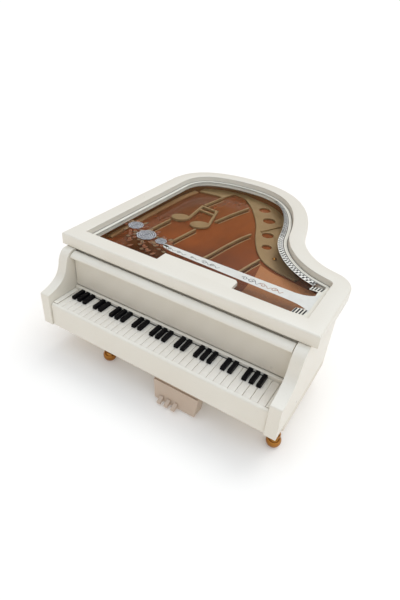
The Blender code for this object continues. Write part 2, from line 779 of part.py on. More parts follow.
def winding_key():
    """Butterfly key under the case."""
    x, y = BARREL
    key = turned(
        "winding_key", ((0, 7.0), (3.2, 7.0), (3.2, 13.2), (0, 13.2)), (x, y, 0), "z", 14
    )
    wing = [(-9.0, 4.8), (-7.6, 3.6), (-3.0, 3.9), (0.0, 5.8), (3.0, 3.9), (7.6, 3.6), (9.0, 4.8)]
    wing += [(8.4, 9.6), (6.0, 11.2), (-6.0, 11.2), (-8.4, 9.6)]
    plate = extrude("wings", [(x + a, b) for a, b in wing], y - 0.9, y + 0.9, "y")
    join(key, plate)
    return settle(key, "bright_gold", (x, y, 0.0), smooth=40)


def drum_pivot():
    """A point on the cylinder's axis."""
    return (0.0, BARREL[1], ARBOR_Z)


def cylinder_arbor():
    """Shaft through the pinion, the cylinder and its gear."""
    arbor = rod("cylinder_arbor", (0, BARREL[1], ARBOR_Z), SHAFT, -49.5, -6.6, "x", 12)
    return settle(arbor, "steel", drum_pivot(), smooth=40)


def wheel(name, teeth, root, tip, thick, turn, centre, span, bore):
    """Toothed wheel about an axis along x."""
    plan = [(centre[0] + a, centre[1] + b) for a, b in toothed(teeth, root, tip, thick, turn)]
    made = extrude(name, plan, span[0], span[1], "x")
    hole = rod("bore", (0, *centre), bore, span[0] - 2, span[1] + 2, "x", 12)
    return cut(made, hole)


def drum_wheels():
    """Pinion driven by the crown, and the gear that drives the governor."""
    centre = (BARREL[1], ARBOR_Z)
    bore = SHAFT + GAP
    down = -math.pi / 2
    pinion = wheel(
        "cylinder_pinion", PINION_TEETH, 3.3, 4.78, 0.5, down, centre, (-47.1, -44.5), bore
    )
    settle(pinion, "brass", drum_pivot())
    gear = wheel("cylinder_gear", GEAR_TEETH, 9.4, 10.6, 0.6, math.pi, centre, (-11.6, -10.2), bore)
    settle(gear, "brass", drum_pivot())


def music_cylinder():
    """Pinned cylinder that plucks the comb."""
    start, end, radius = DRUM
    y, z = BARREL[1], ARBOR_Z
    bore = SHAFT + GAP
    profile = ((bore, start), (radius, start), (radius, end), (bore, end))
    drum = turned("music_cylinder", profile, (0, y, z), "x", 24, closed=True)
    pins = []
    for row in range(16):
        for beat in range(2):
            angle = math.tau * ((row * 7 + beat * 11) % 24 + 0.5) / 24
            x = start + 2.2 + row * 1.65
            out = Vector((math.cos(angle), math.sin(angle)))
            side = strip([Vector((y, z)) + out * 7.2, Vector((y, z)) + out * 8.8], 0.6)
            pins.append(extrude("pin", side, x - 0.3, x + 0.3, "x"))
    join(drum, gather("pins", pins))
    return settle(drum, "brass", drum_pivot(), smooth=30)


def music_comb():
    """Steel comb whose teeth reach the cylinder's pins."""
    back, root, tip = 95.0, 89.5, 81.4
    plan = [(-41.0, back), (-41.0, root)]
    for tooth in range(16):
        middle = DRUM[0] + 2.2 + tooth * 1.65
        end = tip + 0.08 * tooth
        plan += [(middle - 0.5, root), (middle - 0.5, end), (middle + 0.5, end), (middle + 0.5, root)]
    plan += [(-12.0, root), (-12.0, back)]
    comb = extrude("music_comb", plan, 43.7, 44.6)
    return settle(comb, "steel")


def comb_block():
    """Cast block under the comb."""
    block = box("comb_block", (-41.0, -12.0), (90.0, 95.0), (BED_TOP + GAP, 43.4))
    return settle(block, "brass")


def comb_screws():
    """Screws that clamp the comb."""
    low = 44.6 + GAP
    profile = ((0, low), (1.6, low), (1.6, low + 1.1), (0, low + 1.1))
    for number, x in enumerate((-35.0, -18.0), 1):
        settle(turned(f"comb_screw_{number}", profile, (x, 92.4, 0), "z", 10), "steel", smooth=40)


def brackets():
    """Plates that carry the cylinder's and the fan's shafts."""
    base = BED_TOP + GAP
    y, z = BARREL[1], ARBOR_Z
    bore = SHAFT + GAP
    left = box("cylinder_bracket", (-43.6, -42.0), (y - 5, y + 5), (base, z + 4.5))
    cut(left, rod("bore", (0, y, z), bore, -50, -38, "x", 12))
    settle(left, "brass")
    right = box("gear_bracket", (-9.6, -8.0), (FAN_Y - 4, y + 5), (base, z + 4.5))
    cut(right, rod("bore", (0, y, z), bore, -15, -3, "x", 12))
    cut(right, rod("bore", (0, FAN_Y, z), 1.1, -15, -3, "x", 12))
    settle(right, "brass")
    fan_end = box("fan_bracket", (-34.0, -32.6), (FAN_Y - 4, FAN_Y + 3), (base, z + 4.0))
    cut(fan_end, rod("bore", (0, FAN_Y, z), 1.1, -40, -28, "x", 12))
    settle(fan_end, "brass")


def governor_fan():
    """Air brake: a pinion and two vanes on one spindle."""
    pivot = (0.0, FAN_Y, ARBOR_Z)
    spindle = rod("governor_fan", pivot, 0.8, -35.0, -7.0, "x", 10)
    vane = box("vane", (-30.0, -15.0), (FAN_Y - 3.3, FAN_Y + 3.3), (ARBOR_Z - 0.4, ARBOR_Z + 0.4))
    half = math.pi / FAN_TEETH
    teeth = toothed(FAN_TEETH, 1.8, 3.0, 0.6, half)
    pinion = extrude("pinion", [(FAN_Y + a, ARBOR_Z + b) for a, b in teeth], -11.5, -10.3, "x")
    join(spindle, vane, pinion)
    return settle(spindle, "steel", pivot)


# ---------------------------------------------------------------- assembly


def main():
    """Build every piece of the piano."""
    clear_scene()
    lid_frame()
    window_pane()
    for place, middle in HINGE_PLACES.items():
        lid_hinge(place, middle)
    case_rim()
    base_plate()
    base_screws()
    for place, spot in FEET.items():
        foot(place, spot)
    pedal_lyre()
    for step, name in enumerate(("pedal_left", "pedal_middle", "pedal_right")):
        pedal(name, PEDAL_MIDDLE + (step - 1) * PEDAL_PITCH)
    key_slip()
    key_bed()
    white_keys()
    black_keys()
    key_block("key_block_bass", -1)
    key_block("key_block_treble", 1)
    back_rail()
    fallboard()
    soundboard()
    harp_plate()
    harp_struts()
    note_emblem()
    tuning_block()
    harp_screw()
    movement_bed()
    spring_barrel()
    mainspring()
    winding_arbor()
    winding_key()
    cylinder_arbor()
    drum_wheels()
    music_cylinder()
    music_comb()
    comb_block()
    comb_screws()
    brackets()
    governor_fan()


main()
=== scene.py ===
"""Looks of a miniature grand piano with a glazed lid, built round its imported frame.

Shapes are drawn in millimetres in the piano's own layout: x runs from bass to treble, y runs back
from the lid's front edge and z runs up, with the floor at FLOOR.
"""

import json
import logging
import math
from collections.abc import Callable, Iterable, Mapping, Sequence
from dataclasses import dataclass
from enum import Enum
from typing import Any

import bmesh
import bpy
from mathutils import Matrix, Vector


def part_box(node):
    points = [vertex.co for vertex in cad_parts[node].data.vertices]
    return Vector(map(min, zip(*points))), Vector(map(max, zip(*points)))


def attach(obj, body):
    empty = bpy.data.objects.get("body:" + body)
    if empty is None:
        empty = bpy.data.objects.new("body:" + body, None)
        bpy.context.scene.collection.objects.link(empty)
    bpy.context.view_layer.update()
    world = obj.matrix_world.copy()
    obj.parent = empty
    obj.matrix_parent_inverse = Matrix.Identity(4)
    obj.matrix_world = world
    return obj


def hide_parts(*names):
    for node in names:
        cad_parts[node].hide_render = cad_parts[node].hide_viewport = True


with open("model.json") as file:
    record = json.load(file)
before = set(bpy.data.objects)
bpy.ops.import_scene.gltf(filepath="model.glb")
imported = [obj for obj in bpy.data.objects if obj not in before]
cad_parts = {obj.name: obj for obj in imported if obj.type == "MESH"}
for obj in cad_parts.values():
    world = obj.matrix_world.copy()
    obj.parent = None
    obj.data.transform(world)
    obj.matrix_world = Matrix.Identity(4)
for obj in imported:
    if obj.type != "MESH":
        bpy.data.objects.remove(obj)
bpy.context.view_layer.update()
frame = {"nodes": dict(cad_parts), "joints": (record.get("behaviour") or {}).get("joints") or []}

log = logging.getLogger("piano")

MM = 0.001
FLOOR = 1.7
LID_LOW, LID_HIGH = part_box("lid_frame")
CASE_LOW, CASE_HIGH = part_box("case_rim")
FRONT_EDGE = LID_LOW.y / MM
HALF_WIDTH = LID_HIGH.x / MM
DEPTH = (LID_HIGH.y - LID_LOW.y) / MM
LID_TOP = LID_HIGH.z / MM + FLOOR
LID_BOTTOM = LID_LOW.z / MM + FLOOR
CASE_TOP = CASE_HIGH.z / MM + FLOOR
CASE_BOTTOM = CASE_LOW.z / MM + FLOOR
ARM_FRONT = CASE_LOW.y / MM - FRONT_EDGE
# How far in from the lid's edge the case wall reaches round the tray.
TRAY_WALL = 8.6

Point = tuple[float, float]
Colour = tuple[float, float, float]
LeafGroups = dict[str, list[list[Point]]]


def edges(node: str) -> tuple[Vector, Vector]:
    """Lowest and highest corner of a frame node, in the drawing's millimetres.

    Args:
        node: the frame node's name.

    Returns:
        The two corners.
    """
    low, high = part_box(node)
    shift = Vector((0.0, FRONT_EDGE, -FLOOR))
    return low / MM - shift, high / MM - shift


class Body(Enum):
    """The moving bodies that pieces ride on."""

    CASE = "case"
    LID = "lid"
    FALLBOARD = "fallboard"


class Axis(Enum):
    """Directions that a drawn section is carried along."""

    X = "x"
    Y = "y"
    Z = "z"


# ---------------------------------------------------------------- shader maths


class Signal:
    """A shader output with arithmetic: each operator adds a Math node."""

    def __init__(self, recipe: "Recipe", socket: bpy.types.NodeSocket) -> None:
        """Wrap a socket of the recipe's node tree."""
        self.recipe = recipe
        self.socket = socket

    def _math(self, operation: str, first: Any, second: Any) -> "Signal":
        """Add one Math node."""
        return self.recipe.add("ShaderNodeMath", {"operation": operation}, {0: first, 1: second})

    def __add__(self, other: Any) -> "Signal":
        """self + other."""
        return self._math("ADD", self, other)

    def __radd__(self, other: Any) -> "Signal":
        """other + self."""
        return self._math("ADD", other, self)

    def __sub__(self, other: Any) -> "Signal":
        """self - other."""
        return self._math("SUBTRACT", self, other)

    def __rsub__(self, other: Any) -> "Signal":
        """other - self."""
        return self._math("SUBTRACT", other, self)

    def __mul__(self, other: Any) -> "Signal":
        """self * other."""
        return self._math("MULTIPLY", self, other)

    def __rmul__(self, other: Any) -> "Signal":
        """other * self."""
        return self._math("MULTIPLY", other, self)


class Recipe:
    """A material or sky being mixed: its node tree and its main shader."""

    def __init__(self, owner: Any, shader: str = "Principled BSDF") -> None:
        """Start an empty recipe.

        Args:
            owner: the material or world.
            shader: its main shader's node.
        """
        owner.use_nodes = True
        self.owner = owner
        self.tree = owner.node_tree
        self.shader = self.tree.nodes[shader]

    def add(
        self, kind: str, settings: Mapping[str, Any], values: Mapping[Any, Any], out: Any = 0
    ) -> Signal:
        """Add any node.

        Args:
            kind: the node's type.
            settings: its properties, set first.
            values: numbers, colours or signals for its sockets, by name or place.
            out: the output wanted.

        Returns:
            The output as a signal.
        """
        node = self.tree.nodes.new(kind)
        for key, value in settings.items():
            setattr(node, key, value)
        for key, value in values.items():
            self.feed(node.inputs[key], value)
        return Signal(self, node.outputs[out])

    def feed(self, socket: bpy.types.NodeSocket, value: Any) -> None:
        """Link a signal to a socket, or set the socket's own value.

        Args:
            socket: the input.
            value: a signal, a number or a colour.
        """
        if isinstance(value, Signal):
            self.tree.links.new(value.socket, socket)
        elif isinstance(value, tuple) and socket.type == "RGBA" and len(value) == 3:
            socket.default_value = (*value, 1.0)
        else:
            socket.default_value = value

    def set(self, **sockets: Any) -> None:
        """Feed the shader's sockets, named with underscores for spaces."""
        for name, value in sockets.items():
            self.feed(self.shader.inputs[name.replace("_", " ")], value)

    def place(self) -> Signal:
        """The point on the piece, in metres."""
        return self.add("ShaderNodeTexCoord", {}, {}, "Object")

    def stretched(self, stretch: tuple[float, float, float]) -> Signal:
        """The point on the piece, scaled along each axis."""
        return self.add(
            "ShaderNodeVectorMath", {"operation": "MULTIPLY"}, {0: self.place(), 1: stretch}
        )

    def noise(self, scale: float, detail: float = 3.0, where: Signal | None = None) -> Signal:
        """Soft random pattern between 0 and 1, with scale bumps in a metre."""
        values = {"Vector": where or self.place(), "Scale": scale, "Detail": detail}
        return self.add("ShaderNodeTexNoise", {}, values, 0)

    def between(self, share: Signal, low: Any, high: Any) -> Signal:
        """Colour between two colours: share is 0 for low and 1 for high."""
        # A Mix node's colour sockets come seventh and eighth, and its colour output third.
        return self.add("ShaderNodeMix", {"data_type": "RGBA"}, {0: share, 6: low, 7: high}, 2)

    def contrast(self, source: Signal, low: float, high: float) -> Signal:
        """Stretch low..high to 0..1 and clamp."""
        values = {"Value": source, "From Min": low, "From Max": high}
        return self.add("ShaderNodeMapRange", {"clamp": True}, values)

    def bump(self, height: Signal, depth: float, strength: float = 1.0) -> Signal:
        """Normal bent by a height pattern that is depth metres deep."""
        values = {"Height": height, "Distance": depth, "Strength": strength}
        return self.add("ShaderNodeBump", {}, values, "Normal")


# ---------------------------------------------------------------- finishes


@dataclass(frozen=True)
class Finish:
    """A named finish; make() mixes its material once."""

    name: str

    def make(self) -> bpy.types.Material:
        """The finish's material, mixed on first use."""
        title = f"{self.name}_finish"
        found = bpy.data.materials.get(title)
        if found:
            return found
        recipe = Recipe(bpy.data.materials.new(title))
        self.mix(recipe)
        return recipe.owner

    def mix(self, recipe: Recipe) -> None:
        """Fill the recipe; each kind of finish has its own."""


@dataclass(frozen=True)
class MouldedPlastic(Finish):
    """Satin moulded plastic with faint flow marks and a fine grain."""

    colour: Colour = (0.8, 0.8, 0.8)
    flow: Colour = (0.78, 0.76, 0.70)
    roughness: float = 0.32
    depth: float = 0.00002
    shine: float = 0.45

    def mix(self, recipe: Recipe) -> None:
        """Fill the recipe."""
        flow = recipe.contrast(recipe.noise(28.0, 4.0), 0.35, 0.7)
        specks = recipe.contrast(recipe.noise(900.0, 2.0), 0.58, 0.75)
        tint = recipe.between(flow, self.colour, self.flow)
        darker = tuple(0.93 * part for part in self.flow)
        recipe.set(
            Base_Color=recipe.between(specks * 0.35, tint, darker),
            Roughness=self.roughness - 0.05 + 0.10 * recipe.noise(160.0, 3.0),
            Specular_IOR_Level=self.shine,
            Normal=recipe.bump(recipe.noise(1400.0, 3.0), self.depth, 0.5),
        )


@dataclass(frozen=True)
class Lacquer(Finish):
    """Glossy brown lacquer with cloudy streaks along the piano."""

    dark: Colour = (0.16, 0.045, 0.015)
    light: Colour = (0.40, 0.13, 0.045)
    roughness: float = 0.12

    def mix(self, recipe: Recipe) -> None:
        """Fill the recipe."""
        cloud = recipe.noise(11.0, 3.0)
        streak = recipe.noise(60.0, 5.0, recipe.stretched((5.0, 0.6, 1.0)))
        share = recipe.contrast(0.88 * cloud + 0.12 * streak, 0.36, 0.66)
        recipe.set(
            Base_Color=recipe.between(share, self.dark, self.light),
            Roughness=self.roughness + 0.08 * recipe.noise(90.0, 3.0),
            Specular_IOR_Level=0.35,
            Coat_Weight=0.2,
            Coat_Roughness=0.05,
            Normal=recipe.bump(recipe.noise(160.0, 2.0), 0.00002, 0.2),
        )


@dataclass(frozen=True)
class GoldPaint(Finish):
    """Gold paint with metal flake and browner patches."""

    colour: Colour = (0.62, 0.43, 0.22)
    worn: Colour = (0.34, 0.19, 0.09)
    roughness: float = 0.34
    flake_share: float = 0.45

    def mix(self, recipe: Recipe) -> None:
        """Fill the recipe."""
        flake = recipe.noise(2200.0, 2.0)
        patch = recipe.contrast(recipe.noise(70.0, 4.0), 0.45, 0.72)
        recipe.set(
            Base_Color=recipe.between(patch * 0.6, self.colour, self.worn),
            Metallic=self.flake_share,
            Roughness=self.roughness - 0.08 + 0.2 * flake,
            Normal=recipe.bump(flake, 0.00003, 0.35),
        )


@dataclass(frozen=True)
class Metal(Finish):
    """Polished or brushed metal with fine lines and smudges."""

    colour: Colour = (0.6, 0.6, 0.62)
    roughness: float = 0.2
    lines: tuple[float, float, float] = (1.0, 1.0, 1.0)
    depth: float = 0.00001

    def mix(self, recipe: Recipe) -> None:
        """Fill the recipe."""
        smudge = recipe.contrast(recipe.noise(140.0, 4.0), 0.4, 0.75)
        line = recipe.noise(1500.0, 3.0, recipe.stretched(self.lines))
        dull = tuple(0.72 * part for part in self.colour)
        recipe.set(
            Base_Color=recipe.between(smudge * 0.5, self.colour, dull),
            Metallic=1.0,
            Roughness=self.roughness + 0.14 * smudge,
            Normal=recipe.bump(line, self.depth, 0.5),
        )


@dataclass(frozen=True)
class ClearPane(Finish):
    """Clear pane that lets lamps through to what lies under it."""

    tint: Colour = (0.97, 0.99, 0.98)
    bending: float = 1.25

    def mix(self, recipe: Recipe) -> None:
        """Fill the recipe."""
        smear = recipe.contrast(recipe.noise(45.0, 3.0), 0.5, 0.8)
        recipe.set(
            Base_Color=self.tint,
            Roughness=0.01 + 0.03 * smear,
            Transmission_Weight=1.0,
            IOR=self.bending,
        )
        clear = recipe.add("ShaderNodeBsdfTransparent", {}, {"Color": (*self.tint, 1.0)})
        lamp_ray = recipe.add("ShaderNodeLightPath", {}, {}, "Is Shadow Ray")
        glass = Signal(recipe, recipe.shader.outputs[0])
        mixed = recipe.add("ShaderNodeMixShader", {}, {0: lamp_ray, 1: glass, 2: clear})
        recipe.feed(recipe.tree.nodes["Material Output"].inputs["Surface"], mixed)


@dataclass(frozen=True)
class Ink(Finish):
    """Screen-printed ink, a little uneven, that can let what lies under it show through."""

    colour: Colour = (0.05, 0.04, 0.03)
    second: Colour = (0.10, 0.08, 0.06)
    cover: float = 1.0
    patchy: float = 0.15
    roughness: float = 0.35
    scale: float = 180.0

    def mix(self, recipe: Recipe) -> None:
        """Fill the recipe."""
        blotch = recipe.contrast(recipe.noise(self.scale, 4.0), 0.35, 0.7)
        recipe.set(
            Base_Color=recipe.between(blotch, self.colour, self.second),
            Roughness=self.roughness + 0.1 * blotch,
            Alpha=self.cover - self.patchy * blotch,
        )


@dataclass(frozen=True)
class StudioPaper(Finish):
    """Pale backdrop paper."""

    colour: Colour = (0.92, 0.88, 0.82)
    lift: float = 0.12

    def mix(self, recipe: Recipe) -> None:
        """Fill the recipe."""
        fibre = recipe.noise(700.0, 3.0)
        shade = tuple(0.985 * part for part in self.colour)
        recipe.set(
            Base_Color=recipe.between(fibre, self.colour, shade),
            Roughness=0.9,
            Specular_IOR_Level=0.0,
            Emission_Color=(1.0, 1.0, 1.0),
            Emission_Strength=self.lift,
        )


IVORY = MouldedPlastic("ivory", (0.81, 0.765, 0.665), (0.79, 0.740, 0.635), 0.30)
IVORY_SHADE = MouldedPlastic("ivory_shade", (0.76, 0.70, 0.59), (0.74, 0.67, 0.56), 0.38)
KEY_WHITE = MouldedPlastic("key_white", (0.80, 0.745, 0.650), (0.77, 0.710, 0.610), 0.26)
KEY_BLACK = MouldedPlastic("key_black", (0.003, 0.003, 0.004), (0.005, 0.004, 0.005), 0.3, shine=0.08)
TAN = MouldedPlastic("tan_plastic", (0.62, 0.495, 0.385), (0.57, 0.445, 0.34), 0.36)
WALNUT = Lacquer("walnut_lacquer", (0.070, 0.012, 0.005), (0.27, 0.055, 0.013))
# Painted shadow: the dark line laid on the tray beside each strut.
PAINTED_STRUT_SHADOW = Lacquer("walnut_line", (0.035, 0.008, 0.004), (0.07, 0.016, 0.007))
WALNUT_LIGHT = Lacquer("walnut_panel", (0.30, 0.100, 0.036), (0.44, 0.180, 0.072), 0.2)
HARP_GOLD = GoldPaint("harp_gold", (0.33, 0.212, 0.105), (0.26, 0.152, 0.072), 0.36)
SPINE_GOLD = GoldPaint("spine_gold", (0.34, 0.175, 0.080), (0.27, 0.120, 0.050), 0.45, 0.1)
BRIGHT_GOLD = Metal("bright_gold", (0.40, 0.175, 0.040), 0.05)
BRASS = Metal("satin_brass", (0.72, 0.55, 0.26), 0.30, (1.0, 8.0, 1.0))
STEEL = Metal("brushed_steel", (0.58, 0.58, 0.60), 0.26, (8.0, 1.0, 1.0))
PANE = ClearPane("clear_pane")
BORDER_INK = Ink("border_ink", (0.84, 0.80, 0.69), (0.80, 0.76, 0.65), 0.97, 0.04)
VEIL_INK = Ink("veil_ink", (0.86, 0.83, 0.75), (0.82, 0.79, 0.71), 1.0, 0.03)
BANNER_INK = Ink("banner_ink", (0.74, 0.73, 0.67), (0.68, 0.66, 0.60), 1.0, 0.0)
BLACK_INK = Ink("black_ink", (0.012, 0.010, 0.009), (0.025, 0.022, 0.018), 1.0, 0.0, 0.6)
# Grey ink for the printed flourishes, also used for the painted shade along the pane's edge.
GREY_INK_AND_EDGE_SHADE = Ink("grey_ink_and_edge_shade", (0.16, 0.155, 0.14), (0.22, 0.21, 0.19), 0.9, 0.2)
RED_INK = Ink("red_ink", (0.34, 0.105, 0.040), (0.44, 0.18, 0.08), 1.0, 0.0)
OLIVE_INK = Ink("olive_ink", (0.27, 0.150, 0.070), (0.38, 0.24, 0.12), 1.0, 0.0)
LEAF_LINE_INK = Ink("leaf_line_ink", (0.030, 0.012, 0.006), (0.06, 0.025, 0.012), 1.0, 0.0, 0.6)
SILVER_INK = Ink("silver_ink", (0.17, 0.17, 0.185), (0.27, 0.27, 0.285), 1.0, 0.0, 0.6, 900.0)
PALE_INK = Ink("pale_ink", (0.55, 0.55, 0.56), (0.66, 0.66, 0.66), 1.0, 0.0, 0.5, 900.0)
PAPER = StudioPaper("studio_paper")


# ---------------------------------------------------------------- shaping


@dataclass
class Plan:
    """The piano's outline seen from above, which every level follows."""

    half_width: float = HALF_WIDTH
    depth: float = DEPTH
    spine_end: float = 137.0
    tail_x: float = -30.0
    waist: Point = (46.0, 105.0)
    shoulder: Point = (78.0, 71.0)
    corner_y: float = 54.1
    corner_radius: float = 16.0
    corner_turn: float = 74.3
    fineness: int = 3

    def curve(self, *corners: Iterable[float], steps: int) -> list[tuple[Vector, Vector]]:
        """Points and directions along a cubic curve, without its last point.

        Args:
            corners: start, two pulls and end.
            steps: how many points.

        Returns:
            Pairs of point and direction.
        """
        a, b, c, d = (Vector(corner) for corner in corners)
        found = []
        for step in range(steps * self.fineness):
            t = step / (steps * self.fineness)
            s = 1 - t
            point = s**3 * a + 3 * s * s * t * b + 3 * s * t * t * c + t**3 * d
            slope = s * s * (b - a) + 2 * s * t * (c - b) + t * t * (d - c)
            found.append((point, slope.normalized()))
        return found

    def side(self) -> list[tuple[Vector, Vector]]:
        """The treble corner, bentside and tail, from right to left.

        Returns:
            Pairs of point and direction.
        """
        centre = Vector((self.half_width - self.corner_radius, self.corner_y))
        found = []
        steps = 5 * self.fineness
        for step in range(steps + 1):
            angle = math.radians(self.corner_turn) * step / steps
            out = Vector((math.cos(angle), math.sin(angle)))
            found.append((centre + out * self.corner_radius, Vector((-out.y, out.x))))
        along, down = Vector((-0.962, 0.271)), Vector((-0.218, 0.976))
        shoulder, waist = Vector(self.shoulder), Vector(self.waist)
        tail = Vector((self.tail_x, self.depth))
        spine = Vector((-self.half_width, self.spine_end))
        found += self.curve(shoulder, shoulder + along * 16, waist - down * 15, waist, steps=7)
        found += self.curve(waist, waist + down * 50, tail + Vector((42, 0)), tail, steps=11)
        found += self.curve(tail, tail - Vector((38, 0)), spine + Vector((0, 33)), spine, steps=11)
        found.append((spine, Vector((0, -1))))
        return found

    def inset(self, inset: float, front: float | None = None) -> list[Point]:
        """The outline drawn in, counter-clockwise from its front left corner.

        Args:
            inset: how far in from the lid's edge.
            front: where the front edge lies, if not at the inset.

        Returns:
            The outline's points.
        """
        y = inset if front is None else front
        points = [(inset - self.half_width, y), (self.half_width - inset, y)]
        for point, along in self.side():
            out = Vector((along.y, -along.x))
            moved = point - out * inset
            points.append((moved.x, moved.y))
        return points

    def walk(self, pitch: float) -> list[tuple[Vector, Vector]]:
        """Places at even steps along the side, from right to left.

        Args:
            pitch: the distance between two places.

        Returns:
            Pairs of point and direction.
        """
        found = []
        fine = Plan(fineness=30).side()
        travelled, last = 0.0, fine[0][0]
        for point, along in fine:
            travelled += (point - last).length
            last = point
            if travelled >= pitch:
                travelled -= pitch
                found.append((point, along))
        return found


PLAN = Plan()


class Workshop:
    """Turns drawings into meshes, and dresses them."""

    @staticmethod
    def from_mesh(name: str, mesh: bmesh.types.BMesh) -> bpy.types.Object:
        """Link a bmesh as an object, its faces pointing out.

        Args:
            name: the piece's name.
            mesh: the shape, in millimetres.

        Returns:
            The object.
        """
        bmesh.ops.recalc_face_normals(mesh, faces=mesh.faces)
        data = bpy.data.meshes.new(name)
        mesh.to_mesh(data)
        mesh.free()
        obj = bpy.data.objects.new(name, data)
        bpy.context.scene.collection.objects.link(obj)
        return obj

    @staticmethod
    def bridge(mesh: bmesh.types.BMesh, rings: Sequence[Sequence[Any]], closed: bool) -> None:
        """Fill between rings of points, and cap the ends if they don't close.

        Args:
            mesh: the shape being made.
            rings: rings of equally many points.
            closed: whether the last ring meets the first.
        """
        pairs = list(zip(rings, rings[1:]))
        if closed:
            pairs.append((rings[-1], rings[0]))
        else:
            mesh.faces.new(rings[0])
            mesh.faces.new(rings[-1])
        for low, high in pairs:
            for i in range(len(low)):
                j = (i + 1) % len(low)
                mesh.faces.new((low[i], low[j], high[j], high[i]))

    @staticmethod
    def prism(
        name: str, outline: Sequence[Point], low: float, high: float, axis: Axis = Axis.Z
    ) -> bpy.types.Object:
        """Carry a flat outline along an axis.

        Args:
            name: the piece's name.
            outline: (x, y) along Z, (y, z) along X or (x, z) along Y.
            low: where it starts.
            high: where it ends.
            axis: the direction.

        Returns:
            The object, in millimetres.
        """
        order: dict[Axis, Callable[[float, float, float], tuple[float, float, float]]] = {
            Axis.Z: lambda a, b, c: (a, b, c),
            Axis.X: lambda a, b, c: (c, a, b),
            Axis.Y: lambda a, b, c: (a, c, b),
        }
        mesh = bmesh.new()
        rings = [[mesh.verts.new(order[axis](a, b, c)) for a, b in outline] for c in (low, high)]
        Workshop.bridge(mesh, rings, closed=False)
        return Workshop.from_mesh(name, mesh)

    @staticmethod
    def hoop(
        name: str, outer: Sequence[Point], inner: Sequence[Point], low: float, high: float
    ) -> bpy.types.Object:
        """Flat ring between two outlines of equally many points.

        Args:
            name: the piece's name.
            outer: its outer outline.
            inner: its inner outline.
            low: its underside.
            high: its top.

        Returns:
            The object, in millimetres.
        """
        mesh = bmesh.new()
        rings = []
        for outline, z in ((outer, low), (outer, high), (inner, high), (inner, low)):
            rings.append([mesh.verts.new((x, y, z)) for x, y in outline])
        Workshop.bridge(mesh, rings, closed=True)
        return Workshop.from_mesh(name, mesh)

    @staticmethod
    def block(name: str, x: Point, y: Point, z: Point) -> bpy.types.Object:
        """Block between two x, two y and two z values, for cutting and joining."""
        corners = [(x[0], y[0]), (x[1], y[0]), (x[1], y[1]), (x[0], y[1])]
        return Workshop.prism(name, corners, z[0], z[1])

    @staticmethod
    def lathe(
        name: str, profile: Sequence[Point], place: Sequence[float], segments: int = 48
    ) -> bpy.types.Object:
        """Turn (radius, height) points about an upright axis; radius 0 makes a pole.

        Args:
            name: the piece's name.
            profile: from the bottom to the top.
            place: the axis's foot.
            segments: steps round.

        Returns:
            The object, in millimetres.
        """
        mesh = bmesh.new()
        rings = []
        for radius, height in profile:
            steps = segments if radius else 1
            ring = []
            for step in range(steps):
                angle = math.tau * step / segments
                point = Vector((radius * math.cos(angle), radius * math.sin(angle), height))
                ring.append(mesh.verts.new(point + Vector(place)))
            rings.append(ring)
        for low, high in zip(rings, rings[1:]):
            for i in range(segments):
                j = (i + 1) % segments
                loop = (low[i % len(low)], low[j % len(low)], high[j % len(high)], high[i % len(high)])
                mesh.faces.new(dict.fromkeys(loop))
        return Workshop.from_mesh(name, mesh)

    @staticmethod
    def combine(target: bpy.types.Object, tool: bpy.types.Object, operation: str) -> None:
        """Join a tool to the target or cut it away, and drop the tool.

        Args:
            target: what is kept.
            tool: what shapes it.
            operation: UNION or DIFFERENCE.
        """
        modifier = target.modifiers.new("Shape", "BOOLEAN")
        modifier.operation = operation
        modifier.solver = "EXACT"
        modifier.object = tool
        bpy.context.view_layer.update()
        graph = bpy.context.evaluated_depsgraph_get()
        shaped = bpy.data.meshes.new_from_object(target.evaluated_get(graph))
        target.modifiers.clear()
        target.data = shaped
        bpy.data.objects.remove(tool)

    @staticmethod
    def cut(target: bpy.types.Object, *tools: bpy.types.Object) -> bpy.types.Object:
        """Cut each tool out of the target."""
        for tool in tools:
            Workshop.combine(target, tool, "DIFFERENCE")
        return target

    @staticmethod
    def join(target: bpy.types.Object, *tools: bpy.types.Object) -> bpy.types.Object:
        """Weld each tool onto the target."""
        for tool in tools:
            Workshop.combine(target, tool, "UNION")
        return target

    @staticmethod
    def gather(name: str, parts: Sequence[bpy.types.Object]) -> bpy.types.Object:
        """Put parts that don't touch into one object.

        Args:
            name: the object's name.
            parts: the parts, which are dropped.

        Returns:
            The object.
        """
        mesh = bmesh.new()
        for part in parts:
            mesh.from_mesh(part.data)
            bpy.data.objects.remove(part)
        return Workshop.from_mesh(name, mesh)

    @staticmethod
    def soften(obj: bpy.types.Object, width: float, segments: int = 3, angle: float = 30) -> None:
        """Round an object's sharp edges.

        Args:
            obj: the object, in its final units.
            width: the rounding, in the mesh's units.
            segments: steps in the rounding.
            angle: edges sharper than this, in degrees, are rounded.
        """
        modifier = obj.modifiers.new("Rounded edges", "BEVEL")
        modifier.width = width
        modifier.segments = segments
        modifier.limit_method = "ANGLE"
        modifier.angle_limit = math.radians(angle)
        modifier.use_clamp_overlap = True
        modifier.harden_normals = True
        modifier.miter_outer = "MITER_ARC"

